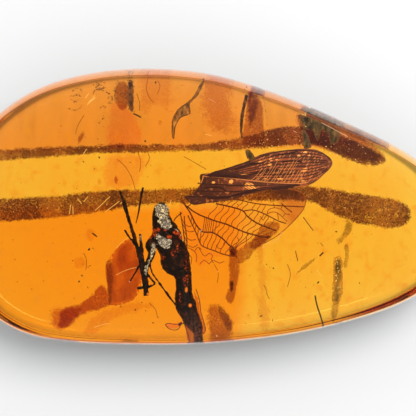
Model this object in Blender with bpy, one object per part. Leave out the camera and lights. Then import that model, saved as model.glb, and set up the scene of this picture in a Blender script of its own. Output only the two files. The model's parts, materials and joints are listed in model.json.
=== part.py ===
"""A polished amber pebble with a winged insect, scraps of bark and two flow seams sealed inside it.

The pebble lies on its flat back, +Z up, with its origin at the middle of its base. The clear stone is
parted level at the insect's height, and its two halves close over pockets that hold what is inside.
Lists of places are in millimetres, seen from above: X along the pebble, Y across it.
"""

import math

import bmesh
import bpy
from mathutils import Vector

MM = 0.001

# The pebble
HALF_LENGTH = 30.2
HALF_WIDTH = 16.55
HEIGHT = 10.5
SHOULDER_HEIGHT = 8.35
BASE_INSET = 2.4
FAR_BEVEL = 1.1
NEAR_BEVEL = 0.45
EDGE_SIDES = 72

# The side from the base up to its widest ring: (height, share of the base inset)
LOWER_SIDE = [(0.0, 1.0), (0.55, 0.5), (1.5, 0.19), (2.8, 0.04), (4.2, 0.0)]
# The side above that: (height, share of the bevel), and the dome as shares of the shoulder's ring
UPPER_SIDE = [(6.0, 0.05), (7.0, 0.22), (7.8, 0.58), (SHOULDER_HEIGHT, 1.0)]
DOME_RINGS = (0.86, 0.68, 0.48, 0.24)

# The pebble's outline, anticlockwise, as shares of the half length and the half width
OUTLINE = [
    (0.997, -0.171), (0.914, 0.206), (0.775, 0.416), (0.560, 0.606), (0.312, 0.798),
    (0.012, 0.966), (-0.295, 1.0), (-0.539, 0.935), (-0.715, 0.808), (-0.874, 0.569),
    (-0.974, 0.228), (-0.997, -0.207), (-0.894, -0.679), (-0.735, -0.903), (-0.538, -0.979),
    (-0.238, -1.0), (0.012, -0.992), (0.316, -0.932), (0.562, -0.833), (0.775, -0.700),
    (0.922, -0.512),
]

# Where the stone is parted, and the room round what is sealed in it
PARTING_HEIGHT = 6.0
PARTING_GAP = 0.3
SIDE_ROOM = 0.3
ROOM_ABOVE = 0.35

# The insect: (x, y, half width) along its back, from the head to the end of the abdomen
BODY_FLATNESS = 0.72
BODY_LINE = [
    (-4.98, 0.41, 0.30), (-5.10, -0.19, 0.84), (-5.16, -1.15, 1.02), (-4.98, -1.99, 1.26),
    (-4.74, -2.71, 1.56), (-4.56, -3.55, 1.80), (-4.08, -4.39, 1.62), (-3.66, -5.47, 1.68),
    (-3.42, -6.43, 1.80), (-2.82, -7.39, 1.26), (-2.54, -8.35, 1.00), (-2.52, -9.55, 0.98),
    (-2.50, -10.51, 1.08), (-2.28, -11.47, 1.24), (-1.80, -12.67, 1.06), (-1.40, -13.63, 1.00),
    (-1.18, -14.50, 0.94), (-1.08, -14.98, 0.74), (-1.02, -15.28, 0.25),
]

# Each leg: (x, y, radius) from its root to its foot
LEGS = {
    "fore_leg": [(-5.6, -3.4, 0.50), (-6.4, -4.4, 0.62), (-6.3, -5.5, 0.46), (-6.8, -6.7, 0.30),
                 (-7.05, -7.9, 0.30), (-6.95, -9.3, 0.32)],
    "mid_leg": [(-10.02, 1.84, 0.13), (-9.56, 0.60, 0.24), (-9.19, -0.73, 0.20), (-8.46, -3.04, 0.22),
                (-8.08, -4.37, 0.24), (-7.60, -6.50, 0.18), (-7.40, -7.61, 0.22), (-7.10, -8.95, 0.28),
                (-6.90, -10.30, 0.34)],
    "second_stick": [(-7.62, -3.19, 0.10), (-7.46, -4.98, 0.22), (-7.30, -6.67, 0.20), (-7.12, -8.2, 0.2)],
    "barb": [(-9.42, -2.76, 0.08), (-8.80, -3.70, 0.14), (-8.10, -4.60, 0.20)],
    "low_stick": [(-7.50, -6.40, 0.14), (-8.20, -7.60, 0.10), (-8.82, -8.65, 0.09)],
    "cross_foot": [(-8.02, -9.50, 0.15), (-7.50, -9.42, 0.15), (-6.90, -9.36, 0.14)],
    "bent_foot": [(-6.96, -7.60, 0.14), (-6.30, -8.45, 0.13), (-5.94, -8.89, 0.15), (-6.35, -9.16, 0.13),
                  (-6.95, -9.45, 0.13)],
    "thin_leg": [(-6.60, -6.00, 0.12), (-6.24, -7.67, 0.10), (-4.98, -9.43, 0.10), (-3.73, -11.10, 0.12),
                 (-2.60, -12.30, 0.12)],
    "tail_lobe": [(-4.70, -13.76, 0.10), (-4.20, -13.92, 0.30), (-3.50, -13.94, 0.34), (-2.70, -13.66, 0.14),
                  (-1.70, -13.50, 0.12)],
}
LEG_HEIGHTS = {"thin_leg": 5.7, "tail_lobe": 5.8, "low_stick": 5.85}
LOOSE_LEG = [(-7.27, 2.21, 0.13), (-7.50, 1.10, 0.14), (-7.78, -0.60, 0.10), (-8.10, -2.00, 0.06)]

# The wings, which came off the body as the resin set
WING_THICKNESS = 0.26
VEIN_RADIUS = 0.20
VEIN_SIDES = 6
FOREWING_HEIGHT = 6.62
HINDWING_HEIGHT = 5.90
FOREWING_EDGE = [
    (-2.38, 1.21), (-1.52, 1.39), (-0.70, 2.40), (-0.55, 3.65), (0.67, 3.89), (4.51, 5.04), (7.96, 6.30),
    (10.84, 6.61), (13.58, 6.42), (15.08, 5.21), (14.86, 4.40), (13.01, 3.04), (11.17, 2.28), (8.30, 1.99),
    (3.60, 0.85), (0.26, 0.38), (-1.33, 0.17),
]
FOREWING_VEINS = [
    [(-0.35, 3.30), (3.6, 3.15), (8.0, 4.1), (13.6, 5.5)],
    [(-0.35, 3.55), (4.0, 4.35), (8.2, 5.7), (12.6, 6.2)],
    [(-0.3, 3.20), (4.5, 2.75), (9.0, 2.95), (13.6, 4.3)],
    [(-2.0, 1.15), (1.5, 1.75), (5.6, 2.10), (11.5, 2.70)],
    [(-2.0, 1.05), (0.8, 0.90), (3.5, 1.20), (6.6, 1.95)],
]
HINDWING_EDGE = [
    (-2.88, 0.84), (-1.20, 1.02), (3.00, 1.72), (6.84, 2.05), (9.78, 1.93), (11.30, 1.50), (11.82, 0.70),
    (11.59, -0.32), (10.46, -1.69), (8.65, -3.28), (5.48, -4.86), (3.67, -5.15), (2.90, -5.80),
    (1.18, -5.95), (-0.60, -6.60), (-1.35, -5.90), (-1.90, -4.39), (-2.46, -2.35), (-2.88, -0.67),
]
HINDWING_VEINS = [
    [(-2.5, 0.55), (-1.4, -0.56), (1.35, -1.73), (4.4, -2.86), (7.6, -3.42)],
    [(-2.6, 0.60), (-1.7, -0.82), (-0.6, -2.65), (0.75, -2.99), (2.0, -3.68), (3.5, -4.85)],
    [(-2.0, -0.90), (-1.1, -2.95), (-0.4, -4.49), (2.0, -5.46)],
    [(-2.4, -1.10), (-2.25, -2.83), (-1.75, -4.60), (-1.05, -6.00)],
    [(-2.0, 0.55), (1.27, 0.31), (4.50, -0.54), (6.36, -0.65), (9.42, -1.96)],
    [(-1.6, 0.75), (4.0, 0.71), (6.71, 0.20), (11.40, -0.08)],
]

# The bark and leaf scraps: the outline, and the height of the middle
SCRAP_THICKNESS = 0.45
SCRAPS = {
    "bark_flake": (3.3, [
        (-10.50, -4.97), (-9.02, -3.83), (-8.20, -4.74), (-7.64, -6.35), (-7.42, -7.96), (-8.45, -10.72),
        (-11.44, -11.40), (-11.54, -9.34), (-11.77, -7.04)]),
    "bark_splinter": (7.0, [
        (-9.05, 14.60), (-8.50, 14.65), (-8.42, 12.40), (-8.45, 11.10), (-8.80, 11.05), (-9.12, 12.30)]),
    "curled_flake": (6.8, [
        (-0.10, 14.60), (-0.90, 12.90), (-1.80, 12.00), (-1.75, 10.75), (-2.90, 10.30), (-3.45, 9.30),
        (-3.60, 7.90), (-3.90, 8.00), (-3.90, 9.90), (-3.20, 11.30), (-1.60, 12.55), (-0.45, 14.50)]),
    "leaf_scrap": (5.1, [
        (11.00, 10.60), (12.60, 10.30), (14.30, 9.50), (15.90, 8.70), (15.60, 7.20), (14.80, 7.10),
        (14.60, 8.30), (13.70, 8.80), (13.30, 7.40), (12.70, 8.70), (11.60, 8.95)]),
    "edge_flake": (4.2, [
        (15.31, -5.92), (16.22, -6.04), (16.30, -7.85), (16.33, -10.00), (15.77, -11.24), (15.10, -11.00),
        (15.20, -7.16)]),
}
# The flow seams, dusty skins between one run of resin and the next, each with the height of its middle
SEAM_THICKNESS = 0.3
SEAMS = {
    "far_flow_seam": (4.3, [
        (-26.30, 6.40), (-25.50, 6.75), (-21.00, 7.13), (-9.00, 7.31), (0.36, 7.37), (4.20, 8.09), (7.20, 8.81),
        (10.56, 9.35), (14.04, 9.05), (17.64, 7.97), (20.76, 6.53), (21.60, 5.40), (21.00, 4.60),
        (19.80, 4.40), (16.92, 5.21), (13.80, 6.65), (11.40, 7.01), (6.84, 6.65), (4.20, 6.35),
        (-0.60, 6.29), (-9.00, 6.23), (-21.00, 5.81), (-25.50, 5.50), (-26.30, 5.85)]),
    "near_flow_seam": (3.4, [
        (-27.30, 0.10), (-26.50, 0.75), (-21.00, 1.13), (-16.20, 1.43), (-11.40, 1.85), (-6.60, 2.03),
        (-0.60, 2.21), (5.40, 2.39), (11.88, 2.33), (16.92, 1.73), (22.44, 0.89), (24.40, -0.40),
        (24.30, -1.80), (22.90, -2.70), (21.00, -2.75), (16.92, -1.87), (14.04, -0.55), (11.88, 0.41),
        (5.40, 0.41), (-0.60, 0.29), (-6.60, 0.11), (-11.40, -0.55), (-16.20, -1.27), (-21.00, -1.63),
        (-26.50, -1.80), (-27.30, -1.10)]),
}
SLIVER_HEIGHT = 6.9
SLIVER = [
    (4.90, 13.03, 0.20), (4.55, 11.68, 0.17), (4.32, 10.32, 0.20), (4.21, 8.95, 0.15), (4.32, 7.82, 0.10),
]

COLOURS = {
    "amber": ((0.92, 0.42, 0.06), 0.05),
    "chitin": ((0.035, 0.014, 0.008), 0.35),
    "dark_wing": ((0.16, 0.045, 0.02), 0.45),
    "clear_wing": ((0.55, 0.24, 0.07), 0.30),
    "bark": ((0.20, 0.085, 0.025), 0.70),
    "flow_dust": ((0.30, 0.13, 0.05), 0.60),
}


def clear_scene():
    for old in list(bpy.data.objects):
        bpy.data.objects.remove(old)


def material(name):
    """A Principled finish in one of COLOURS, made once."""
    made = bpy.data.materials.get(name)
    if made is None:
        colour, roughness = COLOURS[name]
        made = bpy.data.materials.new(name)
        made.use_nodes = True
        shader = made.node_tree.nodes["Principled BSDF"]
        shader.inputs["Base Color"].default_value = (*colour, 1.0)
        shader.inputs["Roughness"].default_value = roughness
        if name == "amber":
            shader.inputs["Transmission Weight"].default_value = 1.0
            shader.inputs["IOR"].default_value = 1.54
    return made


def finished(name, mesh_edit, finish):
    """An object in the scene from a bmesh whose places are in millimetres."""
    bmesh.ops.recalc_face_normals(mesh_edit, faces=mesh_edit.faces)
    bmesh.ops.scale(mesh_edit, vec=(MM, MM, MM), verts=mesh_edit.verts)
    mesh = bpy.data.meshes.new(name)
    mesh_edit.to_mesh(mesh)
    mesh_edit.free()
    mesh.materials.append(material(finish))
    mesh.shade_smooth()
    mesh.set_sharp_from_angle(angle=math.radians(35))
    made = bpy.data.objects.new(name, mesh)
    bpy.context.scene.collection.objects.link(made)
    return made


def spline(points, steps, closed=False):
    """A smooth curve through points of any dimension, with so many steps between two of them."""
    count = len(points)
    spans = count if closed else count - 1
    curve = []
    for i in range(spans):
        if closed:
            four = [Vector(points[(i + k) % count]) for k in (-1, 0, 1, 2)]
        else:
            four = [Vector(points[min(max(i + k, 0), count - 1)]) for k in (-1, 0, 1, 2)]
        a, b, c, d = four
        for step in range(steps):
            t = step / steps
            curve.append(
                0.5 * (2 * b + (c - a) * t + (2 * a - 5 * b + 4 * c - d) * t * t
                       + (3 * b - a - 3 * c + d) * t ** 3)
            )
    if not closed:
        curve.append(Vector(points[-1]))
    return curve


def evenly(curve, count):
    """A closed curve again, as so many points at even distances along it."""
    lengths = [0.0]
    for a, b in zip(curve, curve[1:] + curve[:1]):
        lengths.append(lengths[-1] + (b - a).length)
    even, span = [], 0
    for i in range(count):
        goal = lengths[-1] * i / count
        while lengths[span + 1] < goal:
            span += 1
        share = (goal - lengths[span]) / (lengths[span + 1] - lengths[span])
        even.append(curve[span].lerp(curve[(span + 1) % len(curve)], share))
    return even


def fitted(loop):
    """The loop stretched to the pebble's length and width, with the origin at its middle."""
    left, right = min(place.x for place in loop), max(place.x for place in loop)
    near, far = min(place.y for place in loop), max(place.y for place in loop)
    return [
        Vector((
            HALF_LENGTH * (2 * place.x - left - right) / (right - left),
            HALF_WIDTH * (2 * place.y - near - far) / (far - near),
        ))
        for place in loop
    ]


def outward(loop):
    """The outward direction at each point of an anticlockwise closed loop."""
    return [
        Vector((after.y - before.y, before.x - after.x)).normalized()
        for before, after in zip(loop[-1:] + loop[:-1], loop[1:] + loop[:1])
    ]


def stack(rings, capped_top=True):
    """A bmesh with quads between rings of equal count, each a list of places, closed at its ends."""
    made = bmesh.new()
    rows = [[made.verts.new(place) for place in ring] for ring in rings]
    for low, high in zip(rows, rows[1:]):
        for i in range(len(low)):
            j = (i + 1) % len(low)
            made.faces.new((low[i], low[j], high[j], high[i]))
    made.faces.new(rows[0][::-1])
    if capped_top:
        made.faces.new(rows[-1])
    else:
        middle = sum((v.co for v in rows[-1]), Vector()) / len(rows[-1])
        tip = made.verts.new((middle.x, middle.y, HEIGHT))
        for i in range(len(rows[-1])):
            made.faces.new((rows[-1][i], rows[-1][(i + 1) % len(rows[-1])], tip))
    return made


def pebble():
    """The whole stone: flat back, rounded girdle, a bevel wider on the far side, and a low dome."""
    loop = fitted(evenly(spline([Vector(share) for share in OUTLINE], 12, closed=True), EDGE_SIDES))
    sides = outward(loop)
    bevels = [NEAR_BEVEL + (FAR_BEVEL - NEAR_BEVEL) * (0.5 + 0.5 * side.y) for side in sides]
    rings = [
        [(*(place - side * BASE_INSET * share), height) for place, side in zip(loop, sides)]
        for height, share in LOWER_SIDE
    ]
    rings += [
        [(*(place - side * bevel * share), height) for place, side, bevel in zip(loop, sides, bevels)]
        for height, share in UPPER_SIDE
    ]
    shoulder = rings[-1]
    middle = sum((Vector(place) for place in shoulder), Vector()) / len(shoulder)
    rise = HEIGHT - SHOULDER_HEIGHT
    for share in DOME_RINGS:
        height = SHOULDER_HEIGHT + rise * (1 - share ** 2)
        rings.append([
            (middle.x + (x - middle.x) * share, middle.y + (y - middle.y) * share, height)
            for x, y, _ in shoulder
        ])
    return stack(rings, capped_top=False)


def half(name, above):
    """The part of the pebble above or below its parting, closed with a flat face."""
    edit = pebble()
    toward = 1 if above else -1
    cut = bmesh.ops.bisect_plane(
        edit,
        geom=edit.verts[:] + edit.edges[:] + edit.faces[:],
        plane_co=(0, 0, PARTING_HEIGHT + toward * PARTING_GAP / 2),
        plane_no=(0, 0, -toward),
        clear_outer=True,
    )
    rim = [item for item in cut["geom_cut"] if isinstance(item, bmesh.types.BMEdge)]
    bmesh.ops.edgeloop_fill(edit, edges=rim)
    return finished(name, edit, "amber")


def pocket(name, reach, low, high):
    """A cutter: the hull of (x, y, radius) places with room round them, through the heights given."""
    edit = bmesh.new()
    for x, y, radius in reach:
        for turn in range(8):
            angle = math.radians(45 * turn)
            off = Vector((math.cos(angle), math.sin(angle))) * (radius + SIDE_ROOM)
            for height in (low - ROOM_ABOVE, high + ROOM_ABOVE):
                edit.verts.new((x + off.x, y + off.y, height))
    hull = bmesh.ops.convex_hull(edit, input=edit.verts)
    inside = [item for item in hull["geom_interior"] if isinstance(item, bmesh.types.BMVert)]
    bmesh.ops.delete(edit, geom=inside, context="VERTS")
    return finished(name, edit, "amber")


def tube(name, line, height, finish, flatness=1.0, sides=8, steps=3):
    """A lying tapered limb through (x, y, radius) places, flattened by a share of its width."""
    path = spline(line, steps)
    rings = []
    for i, (x, y, radius) in enumerate(path):
        before, after = path[max(i - 1, 0)], path[min(i + 1, len(path) - 1)]
        along = Vector((after.x - before.x, after.y - before.y)).normalized()
        ring = []
        for side in range(sides):
            angle = 2 * math.pi * side / sides
            across = radius * math.cos(angle)
            ring.append((
                x + along.y * across,
                y - along.x * across,
                height + radius * flatness * math.sin(angle),
            ))
        rings.append(ring)
    return finished(name, stack(rings), finish)


def plate(name, edge, height, thickness, finish):
    """A thin level piece with a slightly thinned rim, from its outline."""
    loop = spline(edge, 3, closed=True)
    if sum(a.cross(b) for a, b in zip(loop, loop[1:] + loop[:1])) < 0:
        loop.reverse()
    sides = outward(loop)
    rings = [
        [(*(place - side * inset), height + level * thickness) for place, side in zip(loop, sides)]
        for level, inset in ((-0.5, 0.07), (-0.2, 0.0), (0.2, 0.0), (0.5, 0.07))
    ]
    return finished(name, stack(rings), finish)


def boolean(target, helper, operation):
    """Joins the helper to the target or cuts it out, and hides the helper."""
    step = target.modifiers.new(helper.name, "BOOLEAN")
    step.operation = operation
    step.solver = "EXACT"
    step.object = helper
    helper.hide_render = True
    helper.display_type = "WIRE"


def insect_body():
    """Head, thorax and abdomen in one, with the legs and the tail lobe grown from them."""
    body = tube("insect_body", BODY_LINE, PARTING_HEIGHT, "chitin", flatness=BODY_FLATNESS, sides=12, steps=2)
    for name, line in LEGS.items():
        flatness = 0.3 if name == "tail_lobe" else 1.0
        leg = tube(name, line, LEG_HEIGHTS.get(name, PARTING_HEIGHT), "chitin", flatness=flatness)
        boolean(body, leg, "UNION")


def wing(name, edge, veins, height, finish):
    """A wing blade with its main veins standing out of both faces."""
    blade = plate(name, edge, height, WING_THICKNESS, finish)
    for number, line in enumerate(veins):
        points = [(x, y, VEIN_RADIUS * (1 - 0.3 * i / len(line))) for i, (x, y) in enumerate(line)]
        rib = tube(f"{name}_vein_{number}", points, height, finish, sides=VEIN_SIDES)
        boolean(blade, rib, "UNION")


def main():
    clear_scene()
    halves = [half("amber_upper_half", above=True), half("amber_lower_half", above=False)]

    insect_body()
    tube("insect_loose_leg", LOOSE_LEG, PARTING_HEIGHT, "chitin")
    wing("insect_forewing", FOREWING_EDGE, FOREWING_VEINS, FOREWING_HEIGHT, "dark_wing")
    wing("insect_hindwing", HINDWING_EDGE, HINDWING_VEINS, HINDWING_HEIGHT, "clear_wing")
    tube("bark_sliver", SLIVER, SLIVER_HEIGHT, "bark")
    sheets = [(name, edge, height, SCRAP_THICKNESS, "bark") for name, (height, edge) in SCRAPS.items()]
    sheets += [(name, edge, height, SEAM_THICKNESS, "flow_dust") for name, (height, edge) in SEAMS.items()]
    for sheet in sheets:
        plate(*sheet)

    body_depth = BODY_FLATNESS * max(half_width for _, _, half_width in BODY_LINE)
    limbs = BODY_LINE + LOOSE_LEG + [place for line in LEGS.values() for place in line]
    wings = [(x, y, 0.0) for x, y in FOREWING_EDGE + HINDWING_EDGE]
    cutters = [
        pocket("body_pocket", limbs, PARTING_HEIGHT - body_depth, PARTING_HEIGHT + body_depth),
        pocket("wing_pocket", wings, HINDWING_HEIGHT - VEIN_RADIUS, FOREWING_HEIGHT + VEIN_RADIUS),
        pocket("sliver_pocket", SLIVER, PARTING_HEIGHT, SLIVER_HEIGHT + SCRAP_THICKNESS / 2),
    ]
    for name, edge, height, thickness, _ in sheets:
        low = min(PARTING_HEIGHT, height - thickness / 2)
        high = max(PARTING_HEIGHT, height + thickness / 2)
        cutters.append(pocket(f"{name}_pocket", [(x, y, 0.0) for x, y in edge], low, high))
    for amber in halves:
        for cutter in cutters:
            boolean(amber, cutter, "DIFFERENCE")


main()
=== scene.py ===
import json
import math
import random

import bpy
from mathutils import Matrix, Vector, noise

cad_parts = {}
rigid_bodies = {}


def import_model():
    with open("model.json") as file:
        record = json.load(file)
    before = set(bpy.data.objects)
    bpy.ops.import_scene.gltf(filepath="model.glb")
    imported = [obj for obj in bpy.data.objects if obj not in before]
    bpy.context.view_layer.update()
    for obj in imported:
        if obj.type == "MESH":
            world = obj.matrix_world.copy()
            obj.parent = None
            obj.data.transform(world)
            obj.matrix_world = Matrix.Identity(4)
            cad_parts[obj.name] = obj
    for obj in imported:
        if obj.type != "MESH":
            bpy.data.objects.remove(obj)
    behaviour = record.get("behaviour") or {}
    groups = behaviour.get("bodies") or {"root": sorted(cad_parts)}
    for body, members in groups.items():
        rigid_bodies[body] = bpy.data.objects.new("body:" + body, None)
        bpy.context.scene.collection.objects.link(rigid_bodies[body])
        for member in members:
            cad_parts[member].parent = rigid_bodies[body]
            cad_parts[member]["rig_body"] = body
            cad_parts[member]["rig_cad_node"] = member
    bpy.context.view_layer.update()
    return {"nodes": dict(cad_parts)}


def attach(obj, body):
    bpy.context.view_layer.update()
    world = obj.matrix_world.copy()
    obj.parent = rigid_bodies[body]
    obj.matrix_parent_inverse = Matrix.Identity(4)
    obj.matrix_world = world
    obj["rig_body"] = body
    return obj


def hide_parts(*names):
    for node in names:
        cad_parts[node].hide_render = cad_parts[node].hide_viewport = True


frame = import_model()
bpy.ops.object.select_all(action="DESELECT")


# The table under the stone
# A plain pale sheet of board. The camera looks straight down on the domed face, as the photograph does,
# and a soft lamp beyond the far edge throws the stone's shadow towards the near side.
MM = 0.001
CAMERA_PLACE = (0.36 * MM, -0.19 * MM, 192 * MM)
CAMERA_LENS = 135
LAMP_PLACE = (120 * MM, 155 * MM, 360 * MM)
LAMP_WIDTH = 270 * MM
LAMP_POWER = 1.35
TABLE_WIDTH = 600 * MM
FLOOR_DEPTH = 0.03 * MM

bpy.context.scene.view_settings.view_transform = "Standard"
bpy.ops.object.camera_add(location=CAMERA_PLACE, rotation=(0, 0, 0))
camera = bpy.context.object
camera.data.lens = CAMERA_LENS
camera.data.sensor_width = 36
camera.data.clip_start = 1 * MM
bpy.context.scene.camera = camera

bpy.ops.object.light_add(type="AREA", location=LAMP_PLACE)
lamp = bpy.context.object
lamp.data.shape = "DISK"
lamp.data.size = LAMP_WIDTH
lamp.data.energy = LAMP_POWER
lamp.rotation_euler = (-lamp.location).to_track_quat("-Z", "Y").to_euler()
lamp.visible_glossy = False

# The room's light is even round the sides and dim overhead, so that the dome mirrors nothing bright
sky = bpy.data.worlds.new("soft_room")
sky.use_nodes = True
bpy.context.scene.world = sky
SKY_STRENGTH = 1.08
SKY_BY_HEIGHT = [(0.0, 0.75), (0.25, 1.0), (0.60, 1.0), (0.80, 0.34), (0.90, 0.12), (1.0, 0.08)]


def add(tree, kind, settings, inputs):
    """A new node with its settings, and with its inputs set to values or linked to other nodes' outputs."""
    made = tree.nodes.new("ShaderNode" + kind)
    for name, value in settings.items():
        setattr(made, name, value)
    for name, value in inputs.items():
        if isinstance(value, bpy.types.NodeSocket):
            tree.links.new(value, made.inputs[name])
        else:
            made.inputs[name].default_value = value
    return made


def ramp(tree, value, stops):
    """A colour ramp over a value. Each stop is (position, colour or grey level)."""
    made = add(tree, "ValToRGB", {}, {"Fac": value})
    elements = made.color_ramp.elements
    while len(elements) < len(stops):
        elements.new(0.5)
    for element, (position, colour) in zip(elements, stops):
        element.position = position
        element.color = (colour, colour, colour, 1) if isinstance(colour, float) else (*colour, 1)
    return made.outputs["Color"]


direction = add(sky.node_tree, "TexCoord", {}, {})
height_in_sky = add(sky.node_tree, "SeparateXYZ", {}, {"Vector": direction.outputs["Generated"]})
background = sky.node_tree.nodes["Background"]
background.inputs["Strength"].default_value = SKY_STRENGTH
sky.node_tree.links.new(
    ramp(sky.node_tree, height_in_sky.outputs["Z"], SKY_BY_HEIGHT), background.inputs["Color"])

bpy.ops.mesh.primitive_plane_add(size=TABLE_WIDTH, location=(0, 0, -FLOOR_DEPTH))
table = bpy.context.object
table.name = "table"
board = bpy.data.materials.new("pale_board")
board.use_nodes = True
board.node_tree.nodes["Principled BSDF"].inputs["Base Color"].default_value = (0.80, 0.80, 0.80, 1)
board.node_tree.nodes["Principled BSDF"].inputs["Roughness"].default_value = 0.8
table.data.materials.append(board)


# The clear stone
# One pebble of amber, ground flat on its back and polished to a low dome, with a bevel round the face
# that is wider on the far side. Its outline is the girdle of the solid that it stands for.
GIRDLE_HEIGHT = 4.2
FAR_BEVEL = 1.1
NEAR_BEVEL = 0.45
SHOULDER_HEIGHT = 8.35
DOME_RISE = 2.15
UPPER_SIDE = [(6.0, 0.05), (7.0, 0.22), (7.8, 0.58), (8.2, 0.90), (SHOULDER_HEIGHT, 1.0)]
LOWER_SIDE = [(2.8, 0.10), (1.5, 0.45), (0.7, 1.05), (0.3, 1.60), (0.05, 2.25), (0.0, 2.40)]
DOME_RINGS = (0.985, 0.95, 0.90, 0.83, 0.75, 0.66, 0.56, 0.46, 0.36, 0.26, 0.16, 0.07)
FLAT_HOLD = 0.35


def copy_of(node, name):
    """A free copy of a CAD node, merged, to be shaped further."""
    bpy.ops.object.select_all(action="DESELECT")
    source = frame["nodes"][node]
    source.select_set(True)
    bpy.context.view_layer.objects.active = source
    bpy.ops.object.duplicate()
    piece = bpy.context.object
    bpy.ops.object.parent_clear(type="CLEAR_KEEP_TRANSFORM")
    del piece["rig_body"]
    del piece["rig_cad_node"]
    piece.name = piece.data.name = name
    piece.data.materials.clear()
    bpy.ops.object.mode_set(mode="EDIT")
    bpy.ops.mesh.select_all(action="SELECT")
    bpy.ops.mesh.remove_doubles(threshold=0.001 * MM)
    bpy.ops.mesh.customdata_custom_splitnormals_clear()
    bpy.ops.object.mode_set(mode="OBJECT")
    return piece


def choose(piece, chosen):
    """In edit mode, selects only the vertices or faces given by a test of their place."""
    bpy.ops.mesh.select_all(action="DESELECT")
    faces = bpy.context.tool_settings.mesh_select_mode[2]
    bpy.ops.object.mode_set(mode="OBJECT")
    for item in piece.data.polygons if faces else piece.data.vertices:
        item.select = chosen(item)
    bpy.ops.object.mode_set(mode="EDIT")


def apply(piece, kind, **settings):
    """Gives the piece a modifier and applies it."""
    bpy.context.view_layer.objects.active = piece
    step = piece.modifiers.new(kind.lower(), kind)
    for name, value in settings.items():
        setattr(step, name, value)
    bpy.ops.object.modifier_apply(modifier=step.name)


stone = copy_of("amber_lower_half", "clear_stone")
bpy.ops.object.mode_set(mode="EDIT")
bpy.ops.mesh.select_mode(type="VERT")
choose(stone, lambda vertex: abs(vertex.co.z - GIRDLE_HEIGHT * MM) > 0.01 * MM)
bpy.ops.mesh.delete(type="VERT")
bpy.ops.mesh.select_all(action="SELECT")
bpy.ops.mesh.edge_face_add()
bpy.ops.mesh.select_mode(type="FACE")
bpy.ops.mesh.select_all(action="SELECT")
bpy.ops.object.mode_set(mode="OBJECT")
facing_down = stone.data.polygons[0].normal.z < 0
bpy.ops.object.mode_set(mode="EDIT")
if facing_down:
    bpy.ops.mesh.flip_normals()
bpy.ops.mesh.extrude_region_move(TRANSFORM_OT_translate={"value": (0, 0, 1 * MM)})
height, done = GIRDLE_HEIGHT + 1, 0.0
for level, share in UPPER_SIDE:
    step = share - done
    bpy.ops.mesh.inset(thickness=step * (FAR_BEVEL + NEAR_BEVEL) / 2 * MM, depth=(level - height) * MM)
    bpy.ops.transform.translate(value=(0, -step * (FAR_BEVEL - NEAR_BEVEL) / 2 * MM, 0))
    height, done = level, share
size = 1.0
for share in DOME_RINGS:
    level = SHOULDER_HEIGHT + DOME_RISE * (1 - share ** 2)
    bpy.ops.mesh.extrude_region_move(TRANSFORM_OT_translate={"value": (0, 0, (level - height) * MM)})
    bpy.ops.transform.resize(value=(share / size, share / size, 1))
    height, size = level, share
choose(stone, lambda face: face.normal.z < -0.9)
height, done = GIRDLE_HEIGHT, 0.0
for level, inset in LOWER_SIDE:
    bpy.ops.mesh.inset(thickness=(inset - done) * MM, depth=(height - level) * MM)
    height, done = level, inset
bpy.ops.mesh.inset(thickness=FLAT_HOLD * MM, depth=0)
bpy.ops.object.mode_set(mode="OBJECT")
apply(stone, "SUBSURF", levels=2, render_levels=2)
bpy.ops.object.shade_smooth()

# Clear yellow resin that deepens to orange with its thickness. The back's tint carries the flow zones,
# and light from outside is let in unbent, so that what is inside isn't left in the dark.
RESIN_THINNING = 200.0
RESIN_COLOUR = (1.0, 0.86, 0.40, 1)
YELLOW_ZONE = (1.0, 0.775, 0.12, 1)
ORANGE_ZONE = (1.0, 0.31, 0.004, 1)
DULL_ZONE = (0.56, 0.078, 0.034, 1)
DULL_STREAKS = (0.86, 0.17, 0.055, 1)
SMUDGE = (0.88, 0.26, 0.012, 1)
# The colour of a painted shade line along the shoulder crease
SHOULDER_SHADE_COLOUR = (0.30, 0.14, 0.07, 1)
SHADOW_SHARE = (0.05, 0.08, 0.16, 1)
WHITE = (1, 1, 1, 1)
STONE_SWAY = 1.6 * MM

zones = bpy.data.node_groups.new("flow_zones", "ShaderNodeTree")
zones.interface.new_socket("Place", in_out="INPUT", socket_type="NodeSocketVector")
zones.interface.new_socket("Sway", in_out="INPUT", socket_type="NodeSocketFloat")
zones.interface.new_socket("Swayed", in_out="OUTPUT", socket_type="NodeSocketVector")
zones.interface.new_socket("Streaks", in_out="OUTPUT", socket_type="NodeSocketFloat")
zones.interface.new_socket("Grit", in_out="OUTPUT", socket_type="NodeSocketFloat")
way_in = zones.nodes.new("NodeGroupInput")
way_out = zones.nodes.new("NodeGroupOutput")
bend = add(zones, "TexNoise", {}, {"Vector": way_in.outputs["Place"], "Scale": 170.0, "Detail": 2.0})
centred = add(zones, "VectorMath", {"operation": "SUBTRACT"}, {0: bend.outputs["Color"], 1: (0.5, 0.5, 0.5)})
swayed = add(zones, "VectorMath", {"operation": "SCALE"}, {
    0: centred.outputs[0], "Scale": way_in.outputs["Sway"]})
moved = add(zones, "VectorMath", {"operation": "ADD"}, {0: way_in.outputs["Place"], 1: swayed.outputs[0]})
drawn_out = add(zones, "Mapping", {}, {"Vector": moved.outputs[0], "Scale": (1.0, 0.28, 1.0)})
streaks = add(zones, "TexNoise", {}, {"Vector": drawn_out.outputs[0], "Scale": 260.0, "Detail": 3.0})
grains = add(zones, "TexNoise", {}, {"Vector": way_in.outputs["Place"], "Scale": 5400.0, "Detail": 3.0})
zones.links.new(moved.outputs[0], way_out.inputs["Swayed"])
zones.links.new(streaks.outputs["Fac"], way_out.inputs["Streaks"])
zones.links.new(grains.outputs["Fac"], way_out.inputs["Grit"])


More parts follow.
